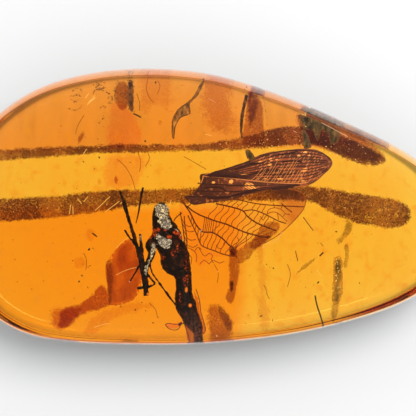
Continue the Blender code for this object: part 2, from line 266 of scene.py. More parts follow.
def finish_named(name, **values):
    """A new Principled material with plain values set on its sockets, as (material, tree, shader)."""
    made = bpy.data.materials.new(name)
    made.use_nodes = True
    shader = made.node_tree.nodes["Principled BSDF"]
    for socket, value in values.items():
        shader.inputs[socket.replace("_", " ")].default_value = value
    return made, made.node_tree, shader


def own_place(tree):
    """The Object coordinates of the piece."""
    return add(tree, "TexCoord", {}, {}).outputs["Object"]


def cloud(tree, place, scale, detail, **more):
    """A cloud pattern over a place, as numbers round 0.5."""
    made = add(tree, "TexNoise", {}, {"Vector": place, "Scale": scale, "Detail": detail, **more})
    return made.outputs["Fac"]


def flow(tree, sway):
    """The flow zones group, placed in a material on Object coordinates."""
    made = tree.nodes.new("ShaderNodeGroup")
    made.node_tree = zones
    tree.links.new(own_place(tree), made.inputs["Place"])
    made.inputs["Sway"].default_value = sway
    return made


def between(tree, value, start, end):
    """A share from 0 where the value is at start to 1 where it is at end."""
    return add(tree, "MapRange", {"interpolation_type": "SMOOTHSTEP"},
               {"Value": value, "From Min": start, "From Max": end}).outputs["Result"]


def blend(tree, share, first, second):
    """A colour between two colours, each a value or a socket."""
    made = add(tree, "Mix", {"data_type": "RGBA"}, {"Factor": share})
    for socket, colour in ((made.inputs[6], first), (made.inputs[7], second)):
        if isinstance(colour, bpy.types.NodeSocket):
            tree.links.new(colour, socket)
        else:
            socket.default_value = colour
    return made.outputs[2]


def combine(tree, operation, first, second):
    """A sum, product or other operation of two numbers."""
    return add(tree, "Math", {"operation": operation}, {0: first, 1: second}).outputs[0]


amber, tree, shader = finish_named(
    "clear_amber", Transmission_Weight=1.0, IOR=1.54, Roughness=0.02, Coat_Roughness=0.04, Coat_IOR=1.8)
absorbing = add(tree, "VolumeAbsorption", {}, {"Color": RESIN_COLOUR, "Density": RESIN_THINNING})
surface = tree.nodes["Material Output"]
tree.links.new(absorbing.outputs[0], surface.inputs["Volume"])
flowing = flow(tree, STONE_SWAY)
spread = add(tree, "SeparateXYZ", {}, {"Vector": flowing.outputs["Swayed"]})
level = add(tree, "SeparateXYZ", {}, {"Vector": own_place(tree)}).outputs["Z"]
near_left = combine(
    tree, "MULTIPLY",
    between(tree, spread.outputs["Y"], 1.0 * MM, -0.9 * MM),
    between(tree, spread.outputs["X"], 6.0 * MM, 3.2 * MM))
far_side = between(tree, spread.outputs["Y"], 5.9 * MM, 7.0 * MM)
uneven = between(tree, flowing.outputs["Streaks"], 0.30, 0.70)
curtains = add(tree, "Mapping", {}, {"Vector": flowing.outputs["Swayed"], "Scale": (1.0, 0.35, 1.0)})
curtain = cloud(tree, curtains.outputs[0], 620.0, 4.0)
folded = between(tree, curtain, 0.46, 0.74)
orange = combine(tree, "MAXIMUM", near_left, combine(tree, "MULTIPLY", uneven, 0.24))
orange = combine(tree, "MAXIMUM", orange, combine(tree, "MULTIPLY", folded, 0.42))
tint = blend(tree, orange, YELLOW_ZONE, ORANGE_ZONE)
dull = blend(tree, uneven, DULL_ZONE, DULL_STREAKS)
tint = blend(tree, combine(tree, "MULTIPLY", far_side, 0.8), tint, dull)
smudges = cloud(tree, flowing.outputs["Swayed"], 820.0, 6.0)
smudged = between(tree, smudges, 0.50, 0.76)
tint = blend(tree, combine(tree, "MULTIPLY", smudged, 0.62), tint, SMUDGE)
back = between(tree, level, 1.7 * MM, 0.5 * MM)
tint = blend(tree, back, WHITE, tint)
# Painted shade: a thin dark line in the tint along the shoulder crease, where the dome meets the bevel
painted_shoulder_shade = combine(
    tree, "MULTIPLY",
    between(tree, level, 8.28 * MM, 8.32 * MM), between(tree, level, 8.38 * MM, 8.35 * MM))
tint = blend(tree, painted_shoulder_shade, tint, SHOULDER_SHADE_COLOUR)
tree.links.new(tint, shader.inputs["Base Color"])
rim = combine(
    tree, "MULTIPLY",
    between(tree, level, 1.5 * MM, 3.0 * MM), between(tree, level, 8.3 * MM, 8.0 * MM))
tree.links.new(rim, shader.inputs["Coat Weight"])
rays = add(tree, "LightPath", {}, {})
side = add(tree, "NewGeometry", {}, {})
resting = between(tree, level, 0.3 * MM, 0.2 * MM)
inside_or_under = combine(tree, "MAXIMUM", resting, side.outputs["Backfacing"])
let_in = add(tree, "BsdfTransparent", {}, {
    "Color": blend(tree, inside_or_under, SHADOW_SHARE, WHITE)}).outputs[0]
for_lamps = add(tree, "MixShader", {}, {0: rays.outputs["Is Shadow Ray"], 1: shader.outputs[0], 2: let_in})
for_room = add(tree, "MixShader", {}, {0: rays.outputs["Is Diffuse Ray"], 1: for_lamps.outputs[0], 2: let_in})
tree.links.new(for_room.outputs[0], surface.inputs["Surface"])
stone.data.materials.append(amber)


def rest_in_stone(piece, finish, slot, *nodes):
    """Fixes a finished piece to the part and hides the CAD nodes that it stands for.

    What is sealed in gets its material here and lets light by, as the resin round it glows from all sides.
    """
    if finish is not None:
        piece.data.materials.clear()
        piece.data.materials.append(finish)
        piece.visible_shadow = False
        piece.visible_diffuse = False
    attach(piece, "root")
    if nodes:
        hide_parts(*nodes)


# The flow seams
# Each time fresh resin ran over the last, dust settled on its skin. Two such skins cross the whole stone
# as smoky bands, and smaller folds and stains hang between them. The films named shade are painted shade
# round the leaf scrap, the bark flake and the hindwing.
PIXEL = 0.12 * MM
PHOTO_MIDDLE = (205.0, 206.4)
FILM_THICKNESS = 0.04 * MM
FILM_RIPPLE = 0.25 * MM
FILM_SWAY = 1.2 * MM
FAR_SEAM_HEIGHT = 4.3
NEAR_SEAM_HEIGHT = 3.4


def spot(across, down, height):
    """The place under a pixel of the photograph, at a height in millimetres."""
    return Vector(((across - PHOTO_MIDDLE[0]) * PIXEL, (PHOTO_MIDDLE[1] - down) * PIXEL, height * MM))


def eased(points, steps, closed=False):
    """A smooth run of places through the points of any dimension."""
    count = len(points)
    run = []
    for i in range(count if closed else count - 1):
        around = [(i + k) % count if closed else min(max(i + k, 0), count - 1) for k in (-1, 0, 1, 2)]
        a, b, c, d = [Vector(points[k]) for k in around]
        for part in range(steps):
            t = part / steps
            run.append(0.5 * (2 * b + (c - a) * t + (2 * a - 5 * b + 4 * c - d) * t * t
                              + (3 * b - a - 3 * c + d) * t ** 3))
    if not closed:
        run.append(Vector(points[-1]))
    return run


def started(name):
    """An empty piece at the origin, open in edit mode."""
    bpy.ops.object.select_all(action="DESELECT")
    bpy.ops.mesh.primitive_plane_add(size=MM, location=(0, 0, 0))
    piece = bpy.context.object
    piece.name = piece.data.name = name
    bpy.ops.object.mode_set(mode="EDIT")
    bpy.ops.mesh.select_mode(type="VERT")
    bpy.ops.mesh.select_all(action="SELECT")
    bpy.ops.mesh.delete(type="VERT")
    return piece


def pixel_of(place):
    """The pixel of the photograph that a place in the stone lies under."""
    return PHOTO_MIDDLE[0] + place.x / PIXEL, PHOTO_MIDDLE[1] - place.y / PIXEL


def inside(across, down, outline):
    """True if a pixel lies in an outline of pixels."""
    crossings = 0
    for (x1, y1), (x2, y2) in zip(outline, outline[1:] + outline[:1]):
        if (y1 > down) != (y2 > down) and across < x1 + (down - y1) / (y2 - y1) * (x2 - x1):
            crossings += 1
    return crossings % 2 == 1


def edge_share(outline, soft):
    """For mark(): how far inside an outline of pixels a vertex lies, up to 1 at soft pixels from it."""
    def share(across, down, height):
        if not inside(across, down, outline):
            return 0.0
        nearest = soft
        for (x1, y1), (x2, y2) in zip(outline, outline[1:] + outline[:1]):
            length = (x2 - x1) ** 2 + (y2 - y1) ** 2
            t = min(max(((across - x1) * (x2 - x1) + (down - y1) * (y2 - y1)) / length, 0.0), 1.0)
            nearest = min(nearest, math.hypot(across - x1 - t * (x2 - x1), down - y1 - t * (y2 - y1)))
        return nearest / soft
    return share


def mark(piece, name, share):
    """Gives the piece an attribute that says of each vertex, from its pixel and height, how much it has."""
    made = piece.data.attributes.new(name, "FLOAT", "POINT")
    for vertex, value in zip(piece.data.vertices, made.data):
        value.value = share(*pixel_of(vertex.co), vertex.co.z / MM)


def marked(tree, name):
    """How much of a mark the surface has, as mark() gave it to the vertices."""
    return add(tree, "Attribute", {"attribute_name": name}, {}).outputs["Fac"]


def swing(tree, value, reach):
    """A number's swing round 0.5, times a reach."""
    return combine(tree, "MULTIPLY", combine(tree, "SUBTRACT", value, 0.5), reach)


def film_finish(name, colour, deep, ragged):
    """A stained film in the resin: it tints what is behind it, with grit in it, and fades out at its rim."""
    made, tree, shader = finish_named(name, Transmission_Weight=1.0, IOR=1.0, Roughness=0.0)
    flowing = flow(tree, FILM_SWAY)
    fading = marked(tree, "fade")
    torn = swing(tree, flowing.outputs["Streaks"], ragged)
    specked = swing(tree, flowing.outputs["Grit"], 1.2)
    curdled = cloud(tree, flowing.outputs["Swayed"], 1150.0, 3.0)
    bitten = swing(tree, curdled, 1.5)
    uneven = combine(tree, "ADD", bitten, combine(tree, "ADD", torn, specked))
    strength = between(tree, combine(tree, "ADD", fading, uneven), 0.05, 0.95)
    mottled = combine(
        tree, "ADD", flowing.outputs["Grit"], combine(tree, "MULTIPLY", flowing.outputs["Streaks"], 0.8))
    gritty = between(tree, mottled, 0.78, 1.04)
    stain = blend(tree, gritty, (*colour, 1), (*deep, 1))
    tree.links.new(blend(tree, strength, WHITE, stain), shader.inputs["Base Color"])
    return made


ripples = bpy.data.textures.new("film_ripples", "CLOUDS")
ripples.noise_scale = 4 * MM


def film(name, finish, outline, height, soft, *nodes):
    """A rippled film in an outline of pixels, at a height, that fades over its outermost soft pixels."""
    rim = [tuple(place) for place in eased(outline, 3, closed=True)]
    left, right = min(x for x, y in rim), max(x for x, y in rim)
    far, near = min(y for x, y in rim), max(y for x, y in rim)
    cell = max(1.0, soft / 2.5)
    piece = started(name)
    middle = spot((left + right) / 2, (far + near) / 2, height)
    bpy.ops.mesh.primitive_grid_add(
        x_subdivisions=round((right - left) / cell) + 2, y_subdivisions=round((near - far) / cell) + 2,
        size=PIXEL, location=middle)
    bpy.ops.transform.resize(value=(right - left, near - far, 1), center_override=middle)
    bpy.ops.mesh.select_mode(type="FACE")
    choose(piece, lambda face: not inside(*pixel_of(face.center), rim))
    bpy.ops.mesh.delete(type="FACE")
    bpy.ops.object.mode_set(mode="OBJECT")
    mark(piece, "fade", edge_share(rim, soft))
    apply(piece, "DISPLACE", texture=ripples, strength=FILM_RIPPLE, mid_level=0.5, direction="Z")
    apply(piece, "SOLIDIFY", thickness=FILM_THICKNESS, offset=0.0)
    rest_in_stone(piece, finish, "flow_dust" if nodes else "amber", *nodes)


smoky = film_finish("smoky_seam", (0.43, 0.27, 0.36), (0.17, 0.090, 0.15), ragged=0.7)
tawny = film_finish("tawny_stain", (0.60, 0.42, 0.40), (0.48, 0.30, 0.29), ragged=0.9)
reddish = film_finish("reddish_stain", (0.74, 0.44, 0.48), (0.60, 0.32, 0.36), ragged=0.5)
rusty = film_finish("rusty_stain", (0.60, 0.30, 0.26), (0.48, 0.20, 0.18), ragged=0.6)
olive = film_finish("olive_stain", (0.66, 0.60, 0.54), (0.45, 0.40, 0.36), ragged=0.6)
faint = film_finish("faint_stain", (0.93, 0.80, 0.76), (0.88, 0.72, 0.68), ragged=1.0)
dusky = film_finish("dusky_stain", (0.84, 0.66, 0.66), (0.76, 0.56, 0.56), ragged=0.9)
blush = film_finish("orange_stain", (0.98, 0.77, 0.82), (0.95, 0.68, 0.74), ragged=1.0)

FAR_SEAM = [
    (-12, 151), (30, 148.5), (70, 147), (104, 146.5), (118, 145), (150, 145.4), (176, 145.8), (208, 144.6),
    (240, 139), (265, 132.5), (293, 128), (322, 132), (352, 143), (378, 156), (385, 164), (370, 170),
    (346, 164), (320, 151), (300, 149), (262, 152), (240, 154.5), (200, 155), (160, 155.4), (130, 156.2),
    (104, 156), (70, 158.5), (30, 161), (-12, 164),
]
NEAR_SEAM = [
    (-20, 200), (30, 197), (70, 193.4), (110, 190), (150, 188.6), (200, 187), (250, 186.5), (304, 187),
    (346, 192), (392, 199), (408, 210), (407, 222), (396, 229), (380, 229), (346, 222), (322, 211),
    (304, 203), (250, 203), (200, 204.5), (150, 206), (110, 212), (70, 218), (30, 221), (-20, 223),
]
film("far_seam", smoky, FAR_SEAM, FAR_SEAM_HEIGHT, 3.2, "far_flow_seam")
film("near_seam", smoky, NEAR_SEAM, NEAR_SEAM_HEIGHT, 3.4, "near_flow_seam")

# Each fold: its finish, height in millimetres, soft rim in pixels, and outline in pixels
FOLDS = {
    # Painted shade round the leaf scrap
    "leaf_shade": (tawny, 3.2, 4.0, [
        (292, 121), (301, 115.5), (318, 118), (346, 130), (366, 143), (383, 157), (377, 167), (346, 162),
        (318, 153), (303, 143)]),
    "splinter_spot": (reddish, 4.9, 1.6, [(246, 90), (251, 91), (252, 99), (249, 108), (246, 104)]),
    "left_smear": (tawny, 4.9, 2.6, [(84, 133), (88, 135), (85, 142), (81, 148), (79, 146), (80, 139)]),
    "splinter_stain": (tawny, 4.4, 2.4, [
        (248, 95), (257, 97), (262, 112), (262.5, 126), (263, 148), (241, 149), (242, 124), (244.5, 106)]),
    "splinter_haze": (smoky, 4.0, 4.0, [
        (246, 96), (256, 98), (258, 110), (254, 126), (248, 132), (244, 118)]),
    "ellipse_stain": (tawny, 6.2, 1.6, [
        (121, 84), (128, 86), (130.5, 98), (129, 110), (124, 114), (118.4, 109), (115.8, 99), (117, 89)]),
    "red_column": (blush, 3.0, 5.0, [(110, 108), (120, 104), (136, 116), (142, 130), (143, 148), (108, 149)]),
    "far_veil": (faint, 2.4, 9.0, [
        (138, 76), (158, 74), (176, 82), (172, 118), (156, 112), (142, 122), (136, 100)]),
    "far_veil_right": (dusky, 2.5, 12.0, [
        (202, 80), (236, 88), (234, 104), (240, 140), (206, 134), (198, 104)]),
    "band_curtain": (blush, 2.6, 9.0, [
        (110, 154), (150, 155), (149, 172), (141, 190), (124, 192), (104, 191), (102, 174)]),
    "red_blot": (reddish, 4.4, 1.6, [(115.5, 178), (118, 176.5), (120, 181), (118.5, 185), (116, 184)]),
    "brown_blot": (faint, 4.4, 2.0, [(98, 181), (101, 178.5), (104, 181.5), (103, 185.5), (99.5, 186)]),
    "far_blot": (faint, 4.4, 1.6, [(158.5, 124), (161, 122.5), (163, 125.5), (161, 129), (158.5, 127.5)]),
    # Brown films under and beside the hindwing that darken the resin there
    "under_wing_brown": (tawny, 3.6, 2.4, [
        (262, 222), (277, 221), (279, 229), (266, 241), (256, 248), (249, 257), (239, 262), (236, 258),
        (231, 250), (238, 246), (252, 236)]),
    # Painted shade under the hindwing
    "under_wing_shade": (tawny, 2.8, 2.6, [
        (230, 246), (240, 258), (239, 274), (233, 299), (224, 295), (228, 281), (228, 258)]),
    "tail_fold": (tawny, 4.0, 6.5, [
        (206, 302), (218, 298), (227, 305), (234, 318), (233, 331), (226, 340), (210, 341), (206, 322)]),
    "tail_fold_gleam": (olive, 4.4, 2.0, [
        (216, 300), (222, 302), (232, 318), (232, 328), (226, 326), (219, 312)]),
    "corner_stain": (rusty, 3.0, 3.5, [
        (62, 306), (79, 300), (90, 293), (101, 281), (109, 287), (110, 303), (92, 309), (79, 315), (70, 324),
        (58, 326)]),
    "flake_edge": (olive, 3.9, 2.8, [
        (106, 262), (111, 257), (114, 262), (115.5, 275), (114, 290), (112, 301), (108, 301), (107.5, 285)]),
    # Painted shade on the bark flake
    "flake_shade": (faint, 4.0, 5.0, [
        (118, 248), (128, 242), (134, 252), (136, 268), (126, 276), (118, 268)]),
    "corner_deep": (reddish, 3.5, 6.0, [(52, 305), (70, 303), (83, 301), (84, 312), (72, 323), (54, 327)]),
    # Painted shade below the bark flake
    "low_shade": (faint, 2.6, 5.0, [
        (82, 330), (90, 314), (108, 303), (130, 297), (153, 298), (150, 306), (132, 311), (112, 318),
        (98, 330)]),
    "seed_halo": (faint, 4.4, 3.0, [(87, 230), (95, 227), (99, 235), (94, 242), (88, 240)]),
    "dusty_patch": (faint, 4.2, 3.0, [(75, 257), (86, 255), (90, 262), (84, 269), (76, 266)]),
    "under_wing_deep": (tawny, 3.3, 3.0, [
        (250, 237), (263, 232), (272, 234), (266, 241), (256, 247), (248, 246)]),
    # Darker brown spots in that band
    "brown_knot": (smoky, 3.8, 2.4, [(228.5, 245), (235, 243.5), (237.5, 250), (233, 255), (229, 253)]),
    "brown_mark": (smoky, 3.0, 2.0, [(229, 279), (232.5, 277.5), (233.5, 285), (231, 289), (228.5, 285)]),
    "edge_bit": (olive, 5.0, 1.6, [(341, 245), (346, 242), (347, 256), (344, 267), (340.5, 262), (342, 252)]),
    "tail_veil": (reddish, 4.6, 0.8, [
        (193.5, 286), (196, 290), (199, 297), (201, 309), (205, 322), (205.5, 328), (202, 331), (198, 318),
        (195, 300)]),
    "grain_trail": (olive, 5.2, 1.6, [
        (294, 272), (299, 264.5), (305, 260), (315, 254.5), (312, 260), (306, 265), (301, 268.5)]),
    "near_rim_stain": (olive, 4.2, 1.8, [
        (116, 338), (124, 335), (131, 334.5), (141, 337), (148, 341), (128, 341)]),
    "middle_streak": (faint, 2.2, 7.0, [
        (254, 242), (264, 243), (268, 290), (272, 324), (256, 324), (256, 285)]),
    "right_arc": (olive, 3.8, 2.6, [(344, 219), (352, 226), (344, 238), (337, 244), (334, 239), (341, 229)]),
    "edge_trail": (olive, 4.3, 2.2, [(331, 288), (338, 292), (338, 306), (334, 318), (330, 322), (329, 305)]),
}
for name, (finish, height, soft, outline) in FOLDS.items():
    film(name, finish, outline, height, soft)


# The insect's husk
# A long-bodied winged insect, face down, its skin turned to black-brown glossy char. The head, the back and
# the fore leg keep a crinkled silvery film of air, whose shine is a painted sheen. The light that shines
# through thin spots of its sides, its lobe, its tail and other thin places is painted as a red and orange
# glow.
SILVER_PATCHES = [
    [(156.2, 207.4), (159.6, 204.2), (165.0, 203.4), (169.9, 207.0), (168.4, 212.7), (169.4, 218.8),
     (172.4, 224.4), (172.4, 226.9), (166.8, 229), (162.8, 225.9), (158.7, 220.8), (159.7, 218.8),
     (156.6, 211.6)],
    [(159.2, 233), (163.3, 235.6), (166.8, 238.2), (171.4, 238.7), (172.4, 242.2), (170.4, 246.8),
     (167.3, 247.9), (163.3, 245.8), (159.2, 242.8), (159.7, 240.2), (156.1, 236.1)],
    [(152.5, 243.5), (155, 241.5), (157, 243), (155.6, 248), (154.6, 253.5), (152.5, 257), (150.6, 259.5),
     (149.8, 262), (148.6, 268), (147.3, 274), (145.8, 273), (145.6, 268), (147, 263), (149, 260),
     (150.6, 256), (151.6, 250)],
    [(141, 236), (142, 232.5), (143, 236), (142.2, 240)],
]
RED_SPOTS = [
    (154.5, 230, 4.8, 2.8), (159.5, 229, 2.8, 2.4), (150, 236.2, 4.4, 3.2), (156, 234, 2.8, 2.0),
    (177, 232, 4.0, 3.4), (170, 235.8, 3.4, 2.4), (180.5, 236, 2.2, 3.6), (166, 229.5, 2.4, 1.6),
]
DIM_SPOTS = [
    (174.6, 252, 4.4, 4.0), (163, 255, 4.2, 4.6), (186.5, 262, 3.4, 11.0), (186, 277, 4.4, 9.0),
    (144.5, 252, 2.8, 5.0), (152, 276, 3.2, 3.4), (178, 246, 4.0, 6.0), (181, 295, 3.0, 8.0),
]
DIM_SHARE = 0.42
THIN_PLACES = [
    (186.6, 287, 1.6, 3.0), (190.4, 302.4, 1.9, 2.2), (149.8, 291, 2.6, 1.6), (152.4, 281, 2.0, 1.6),
]
TAIL_LENGTHENING = 0.8


def in_ellipse(across, down, x, y, w, h, tilt=0.0):
    """How deep a pixel lies in an ellipse of pixels, from 0 at its edge to 1 in its middle."""
    turn = math.radians(tilt)
    along = (across - x) * math.cos(turn) + (down - y) * math.sin(turn)
    athwart = (down - y) * math.cos(turn) - (across - x) * math.sin(turn)
    return max(0.0, 1 - (along / w) ** 2 - (athwart / h) ** 2)


def clouds(name, size, depth=2):
    """A procedural cloud pattern that modifiers push surfaces by."""
    made = bpy.data.textures.new(name, "CLOUDS")
    made.noise_scale = size * MM
    made.noise_depth = depth
    return made


def reskinned(piece, voxel, pushes):
    """Rebuilds the skin in small even faces, then pushes it in and out by each pattern's strength in mm."""
    apply(piece, "REMESH", mode="VOXEL", voxel_size=voxel * MM)
    for texture, strength in pushes:
        apply(piece, "DISPLACE", texture=texture, strength=strength * MM, mid_level=0.5)
    bpy.ops.object.select_all(action="DESELECT")
    piece.select_set(True)
    bpy.context.view_layer.objects.active = piece
    bpy.ops.object.shade_smooth()


lumps = clouds("skin_lumps", 0.8)
wrinkles = clouds("skin_wrinkles", 0.26, 3)
crinkles = clouds("film_crinkles", 0.11, 1)

husk = copy_of("insect_body", "insect_husk")
bpy.ops.object.mode_set(mode="EDIT")
bpy.ops.mesh.select_mode(type="VERT")
choose(husk, lambda vertex: vertex.co.y < -14.7 * MM)
bpy.ops.transform.translate(value=(0.05 * MM, -TAIL_LENGTHENING * MM, 0))
bpy.ops.transform.resize(value=(1.15, 1.0, 0.8))
bpy.ops.object.mode_set(mode="OBJECT")
reskinned(husk, 0.062, [(lumps, 0.20), (wrinkles, 0.14)])
# Painted glow: red where light shines through thin spots of the sides, weaker on the dim spots, and orange
# where it shines through the lobe, the tail and the thin places
mark(husk, "glow", lambda across, down, height: max(
    max(in_ellipse(across, down, *area) for area in RED_SPOTS),
    DIM_SHARE * max(in_ellipse(across, down, *area) for area in DIM_SPOTS)))
mark(husk, "thin_glow", lambda across, down, height: max(
    float(across < 178.5 and down > 317),
    0.6 * min(max((min(195, 187 + 0.93 * (down - 322)) - across) / 2.5, 0.0), 1.0) if down > 322 else 0.0,
    max(min(1.0, 1.4 * in_ellipse(across, down, *area)) for area in THIN_PLACES)))
mark(husk, "tail", lambda across, down, height: min(max((down - 306) / 34, 0.0), 1.0))


def emboss(tree, shader, height, strength, depth):
    """Dents the surface by a pattern of numbers, to a depth in millimetres."""
    made = add(tree, "Bump", {}, {"Strength": strength, "Distance": depth * MM, "Height": height})
    tree.links.new(made.outputs[0], shader.inputs["Normal"])


skin, tree, shader = finish_named("charred_skin", IOR=1.5, Specular_IOR_Level=0.08)
place = own_place(tree)
blotches = cloud(tree, place, 1500.0, 5.0)
fine = cloud(tree, place, 5200.0, 3.0)
glow = marked(tree, "glow")
thin_glow = marked(tree, "thin_glow")
tail = marked(tree, "tail")
char = ramp(tree, blotches, [
    (0.40, (0.004, 0.0025, 0.003)), (0.56, (0.012, 0.005, 0.005)), (0.72, (0.060, 0.016, 0.010))])
fibre_share = combine(tree, "MULTIPLY", tail, between(tree, fine, 0.38, 0.66))
fibrous = blend(tree, fibre_share, char, (0.16, 0.050, 0.034, 1))
# The red and the orange below are the painted glow
patchy = combine(tree, "ADD", glow, combine(tree, "MULTIPLY", combine(tree, "SUBTRACT", fine, 0.52), 3.4))
red_share = combine(tree, "MULTIPLY", between(tree, patchy, 0.30, 0.85), between(tree, glow, 0.02, 0.25))
lit = blend(tree, red_share, fibrous, (0.44, 0.055, 0.010, 1))
tree.links.new(blend(tree, thin_glow, lit, (0.74, 0.19, 0.020, 1)), shader.inputs["Base Color"])
gloss = add(tree, "MapRange", {}, {"Value": fine, "To Min": 0.26, "To Max": 0.55})
tree.links.new(gloss.outputs[0], shader.inputs["Roughness"])
emboss(tree, shader, fine, 0.6, 0.05)
rest_in_stone(husk, skin, "chitin", "insect_body")

bpy.ops.object.select_all(action="DESELECT")
husk.select_set(True)
bpy.context.view_layer.objects.active = husk
bpy.ops.object.duplicate()
foil = bpy.context.object
foil.name = foil.data.name = "silvery_air_film"
bpy.ops.object.mode_set(mode="EDIT")
bpy.ops.mesh.select_mode(type="FACE")
noise.seed_set(11)
choose(foil, lambda face: face.center.z < 5.9 * MM or face.normal.z < -0.1 or not any(
    inside(*pixel_of(face.center + 0.24 * MM * noise.noise_vector(face.center * 3400)), patch)
    for patch in SILVER_PATCHES))
bpy.ops.mesh.delete(type="FACE")
bpy.ops.mesh.select_all(action="SELECT")
bpy.ops.mesh.subdivide(number_cuts=1)
bpy.ops.object.mode_set(mode="OBJECT")
apply(foil, "DISPLACE", texture=crinkles, strength=0.20 * MM, mid_level=0.30)
apply(foil, "SOLIDIFY", thickness=0.02 * MM, offset=1.0)
# The film's white and blue colour is a painted sheen that stands in for the mirror-like shine of the air
# film; its darker gaps shine less
silvery, tree, shader = finish_named("painted_silver_sheen", Roughness=0.35, Specular_IOR_Level=0.8)
place = own_place(tree)
crumple = cloud(tree, place, 4600.0, 6.0, Distortion=1.6)
sheen = ramp(tree, crumple, [
    (0.41, (0.010, 0.010, 0.022)), (0.49, (0.080, 0.085, 0.18)), (0.55, (0.46, 0.48, 0.88)),
    (0.60, (1.0, 1.0, 1.0))])
sheen_gaps = cloud(tree, place, 1700.0, 2.0)
sheen = blend(tree, between(tree, sheen_gaps, 0.56, 0.70), sheen, (0.10, 0.10, 0.17, 1))
tree.links.new(sheen, shader.inputs["Base Color"])
emboss(tree, shader, crumple, 0.8, 0.06)
rest_in_stone(foil, silvery, "chitin")

loose_leg = copy_of("insect_loose_leg", "insect_shed_leg")
reskinned(loose_leg, 0.04, [(wrinkles, 0.06)])
for name in ("glow", "thin_glow", "tail"):
    mark(loose_leg, name, lambda across, down, height: 0.0)
rest_in_stone(loose_leg, skin, "chitin", "insect_loose_leg")


# The forewing
# A long dark wing that came off at its root and lies a little higher than the body: a leathery blade with
# close dark veins along it, pale cross veins towards the tip and a few clear windows.
FOREWING_HEIGHT = 6.62
FOREWING_EDGE = [
    (-2.38, 1.21), (-1.52, 1.39), (-0.60, 2.50), (-0.55, 3.65), (0.67, 3.89), (4.51, 5.04), (6.24, 5.84),
    (7.96, 6.30), (10.84, 6.61), (12.55, 6.59), (13.32, 6.44), (14.00, 6.08), (14.65, 5.62), (15.00, 5.05),
    (14.80, 4.46), (14.08, 3.74), (13.15, 2.90), (12.36, 2.44), (11.30, 2.18), (8.30, 1.99), (6.24, 1.60),
    (3.60, 0.85), (1.64, 0.50), (0.26, 0.38), (-1.33, 0.17), (-2.20, 0.84),
]
LEADING_VEIN = [
    (-0.40, 3.55), (0.75, 3.80), (4.50, 4.92), (7.95, 6.16), (11.0, 6.46), (13.5, 6.20), (14.8, 5.35),
]
FOLD_VEIN = [
    (-0.30, 3.50), (3.36, 3.20), (6.24, 2.84), (9.10, 2.62), (11.6, 2.62), (13.4, 3.30), (14.6, 4.50),
]
REAR_VEIN = [
    (-1.90, 1.15), (0.80, 1.10), (3.60, 1.20), (6.30, 1.80), (8.60, 2.12), (10.4, 2.30), (11.2, 2.42),
]
WINDOWS = [
    (249.6, 188.0, 8.8, 5.0, 30), (302.5, 171.8, 4.6, 2.6, -18), (269.2, 161.8, 2.4, 2.4),
    (268.2, 166, 3.0, 2.6), (230.4, 182.6, 3.0, 2.8), (264.5, 181.0, 3.2, 1.6), (213, 183.5, 2.6, 1.6),
    (275, 161.5, 2.2, 1.4), (259, 164, 3.0, 1.8), (297, 158, 2.2, 1.4), (303, 155, 3.0, 2.4),
    (307, 158, 2.0, 1.4), (300, 181.5, 3.4, 2.0), (278, 180.5, 4.0, 1.2), (243, 176, 5.0, 1.2),
]
DARK_STREAKS = [
    [(205, 189), (218, 188), (226, 192)], [(208, 199), (226, 198), (240, 194), (256, 190.5)],
    [(234, 171), (250, 166), (262, 165)], [(248, 176.5), (262, 173), (278, 171.5)],
    [(276, 157), (288, 155.5), (296, 153.5)], [(280, 164), (290, 163), (300, 164)],
    [(262, 176), (276, 176.5), (290, 176)], [(270, 190.5), (282, 189.5), (292, 188)],
]


def drawn(name, lines):
    """A piece of bare edges, drawn point by point along each line of places."""
    piece = started(name)
    for line in lines:
        bpy.ops.mesh.primitive_plane_add(size=0.01 * MM, location=line[0])
        bpy.ops.mesh.merge(type="CENTER")
        for before, after in zip(line, line[1:]):
            bpy.ops.mesh.extrude_vertices_move(TRANSFORM_OT_translate={"value": after - before})
    bpy.ops.mesh.select_all(action="SELECT")
    bpy.ops.object.mode_set(mode="OBJECT")
    return piece


def sheet_of(name, outline, thickness):
    """A thin closed level piece in a drawn outline."""
    piece = drawn(name, [outline])
    bpy.ops.object.mode_set(mode="EDIT")
    bpy.ops.mesh.edge_face_add()
    bpy.ops.object.mode_set(mode="OBJECT")
    apply(piece, "SOLIDIFY", thickness=thickness * MM, offset=0.0)
    return piece


def tubes(name, lines, radius):
    """Round threads of one radius in millimetres along lines of places."""
    drawn(name, lines)
    bpy.ops.object.convert(target="CURVE")
    piece = bpy.context.object
    piece.data.bevel_depth = radius * MM
    piece.data.bevel_resolution = 1
    piece.data.use_fill_caps = True
    bpy.ops.object.convert(target="MESH")
    piece = bpy.context.object
    bpy.ops.object.shade_smooth()
    return piece


def flat_line(points, height, steps=4, closed=False):
    """A smooth line of places at one height, through points in millimetres."""
    return [Vector((x * MM, y * MM, height * MM)) for x, y in eased(points, steps, closed)]


def pixel_line(points, height, steps=3):
    """A smooth line of places under pixels of the photograph, at one height."""
    return [spot(across, down, height) for across, down in eased(points, steps)]


def at_share(line, share):
    """The place at a share of the way along a line of places."""
    along = share * (len(line) - 1)
    i = min(int(along), len(line) - 2)
    return line[i].lerp(line[i + 1], along - i)


def above(line, across):
    """The place of a line of places that runs left to right, at a pixel's distance across the photograph."""
    goal = spot(across, 0, 0).x
    for start, end in zip(line, line[1:]):
        if start.x <= goal <= end.x:
            return start.lerp(end, (goal - start.x) / max(end.x - start.x, 1e-9))
    return line[0] if goal < line[0].x else line[-1]


def swaying(start, end, sway):
    """An S-curved line between two places, swaying across by millimetres."""
    return [
        start.lerp(end, part / 6) + Vector((sway * MM * math.sin(2 * math.pi * part / 6), 0, 0))
        for part in range(7)
    ]


forewing = sheet_of("forewing_blade", flat_line(FOREWING_EDGE, FOREWING_HEIGHT, 3, closed=True), 0.13)
reskinned(forewing, 0.06, [(lumps, 0.10)])
mark(forewing, "window", lambda across, down, height: max(
    in_ellipse(across, down, *area) for area in WINDOWS))
mark(forewing, "tip", lambda across, down, height: min(max((across - 205) / 100, 0.0), 1.0))

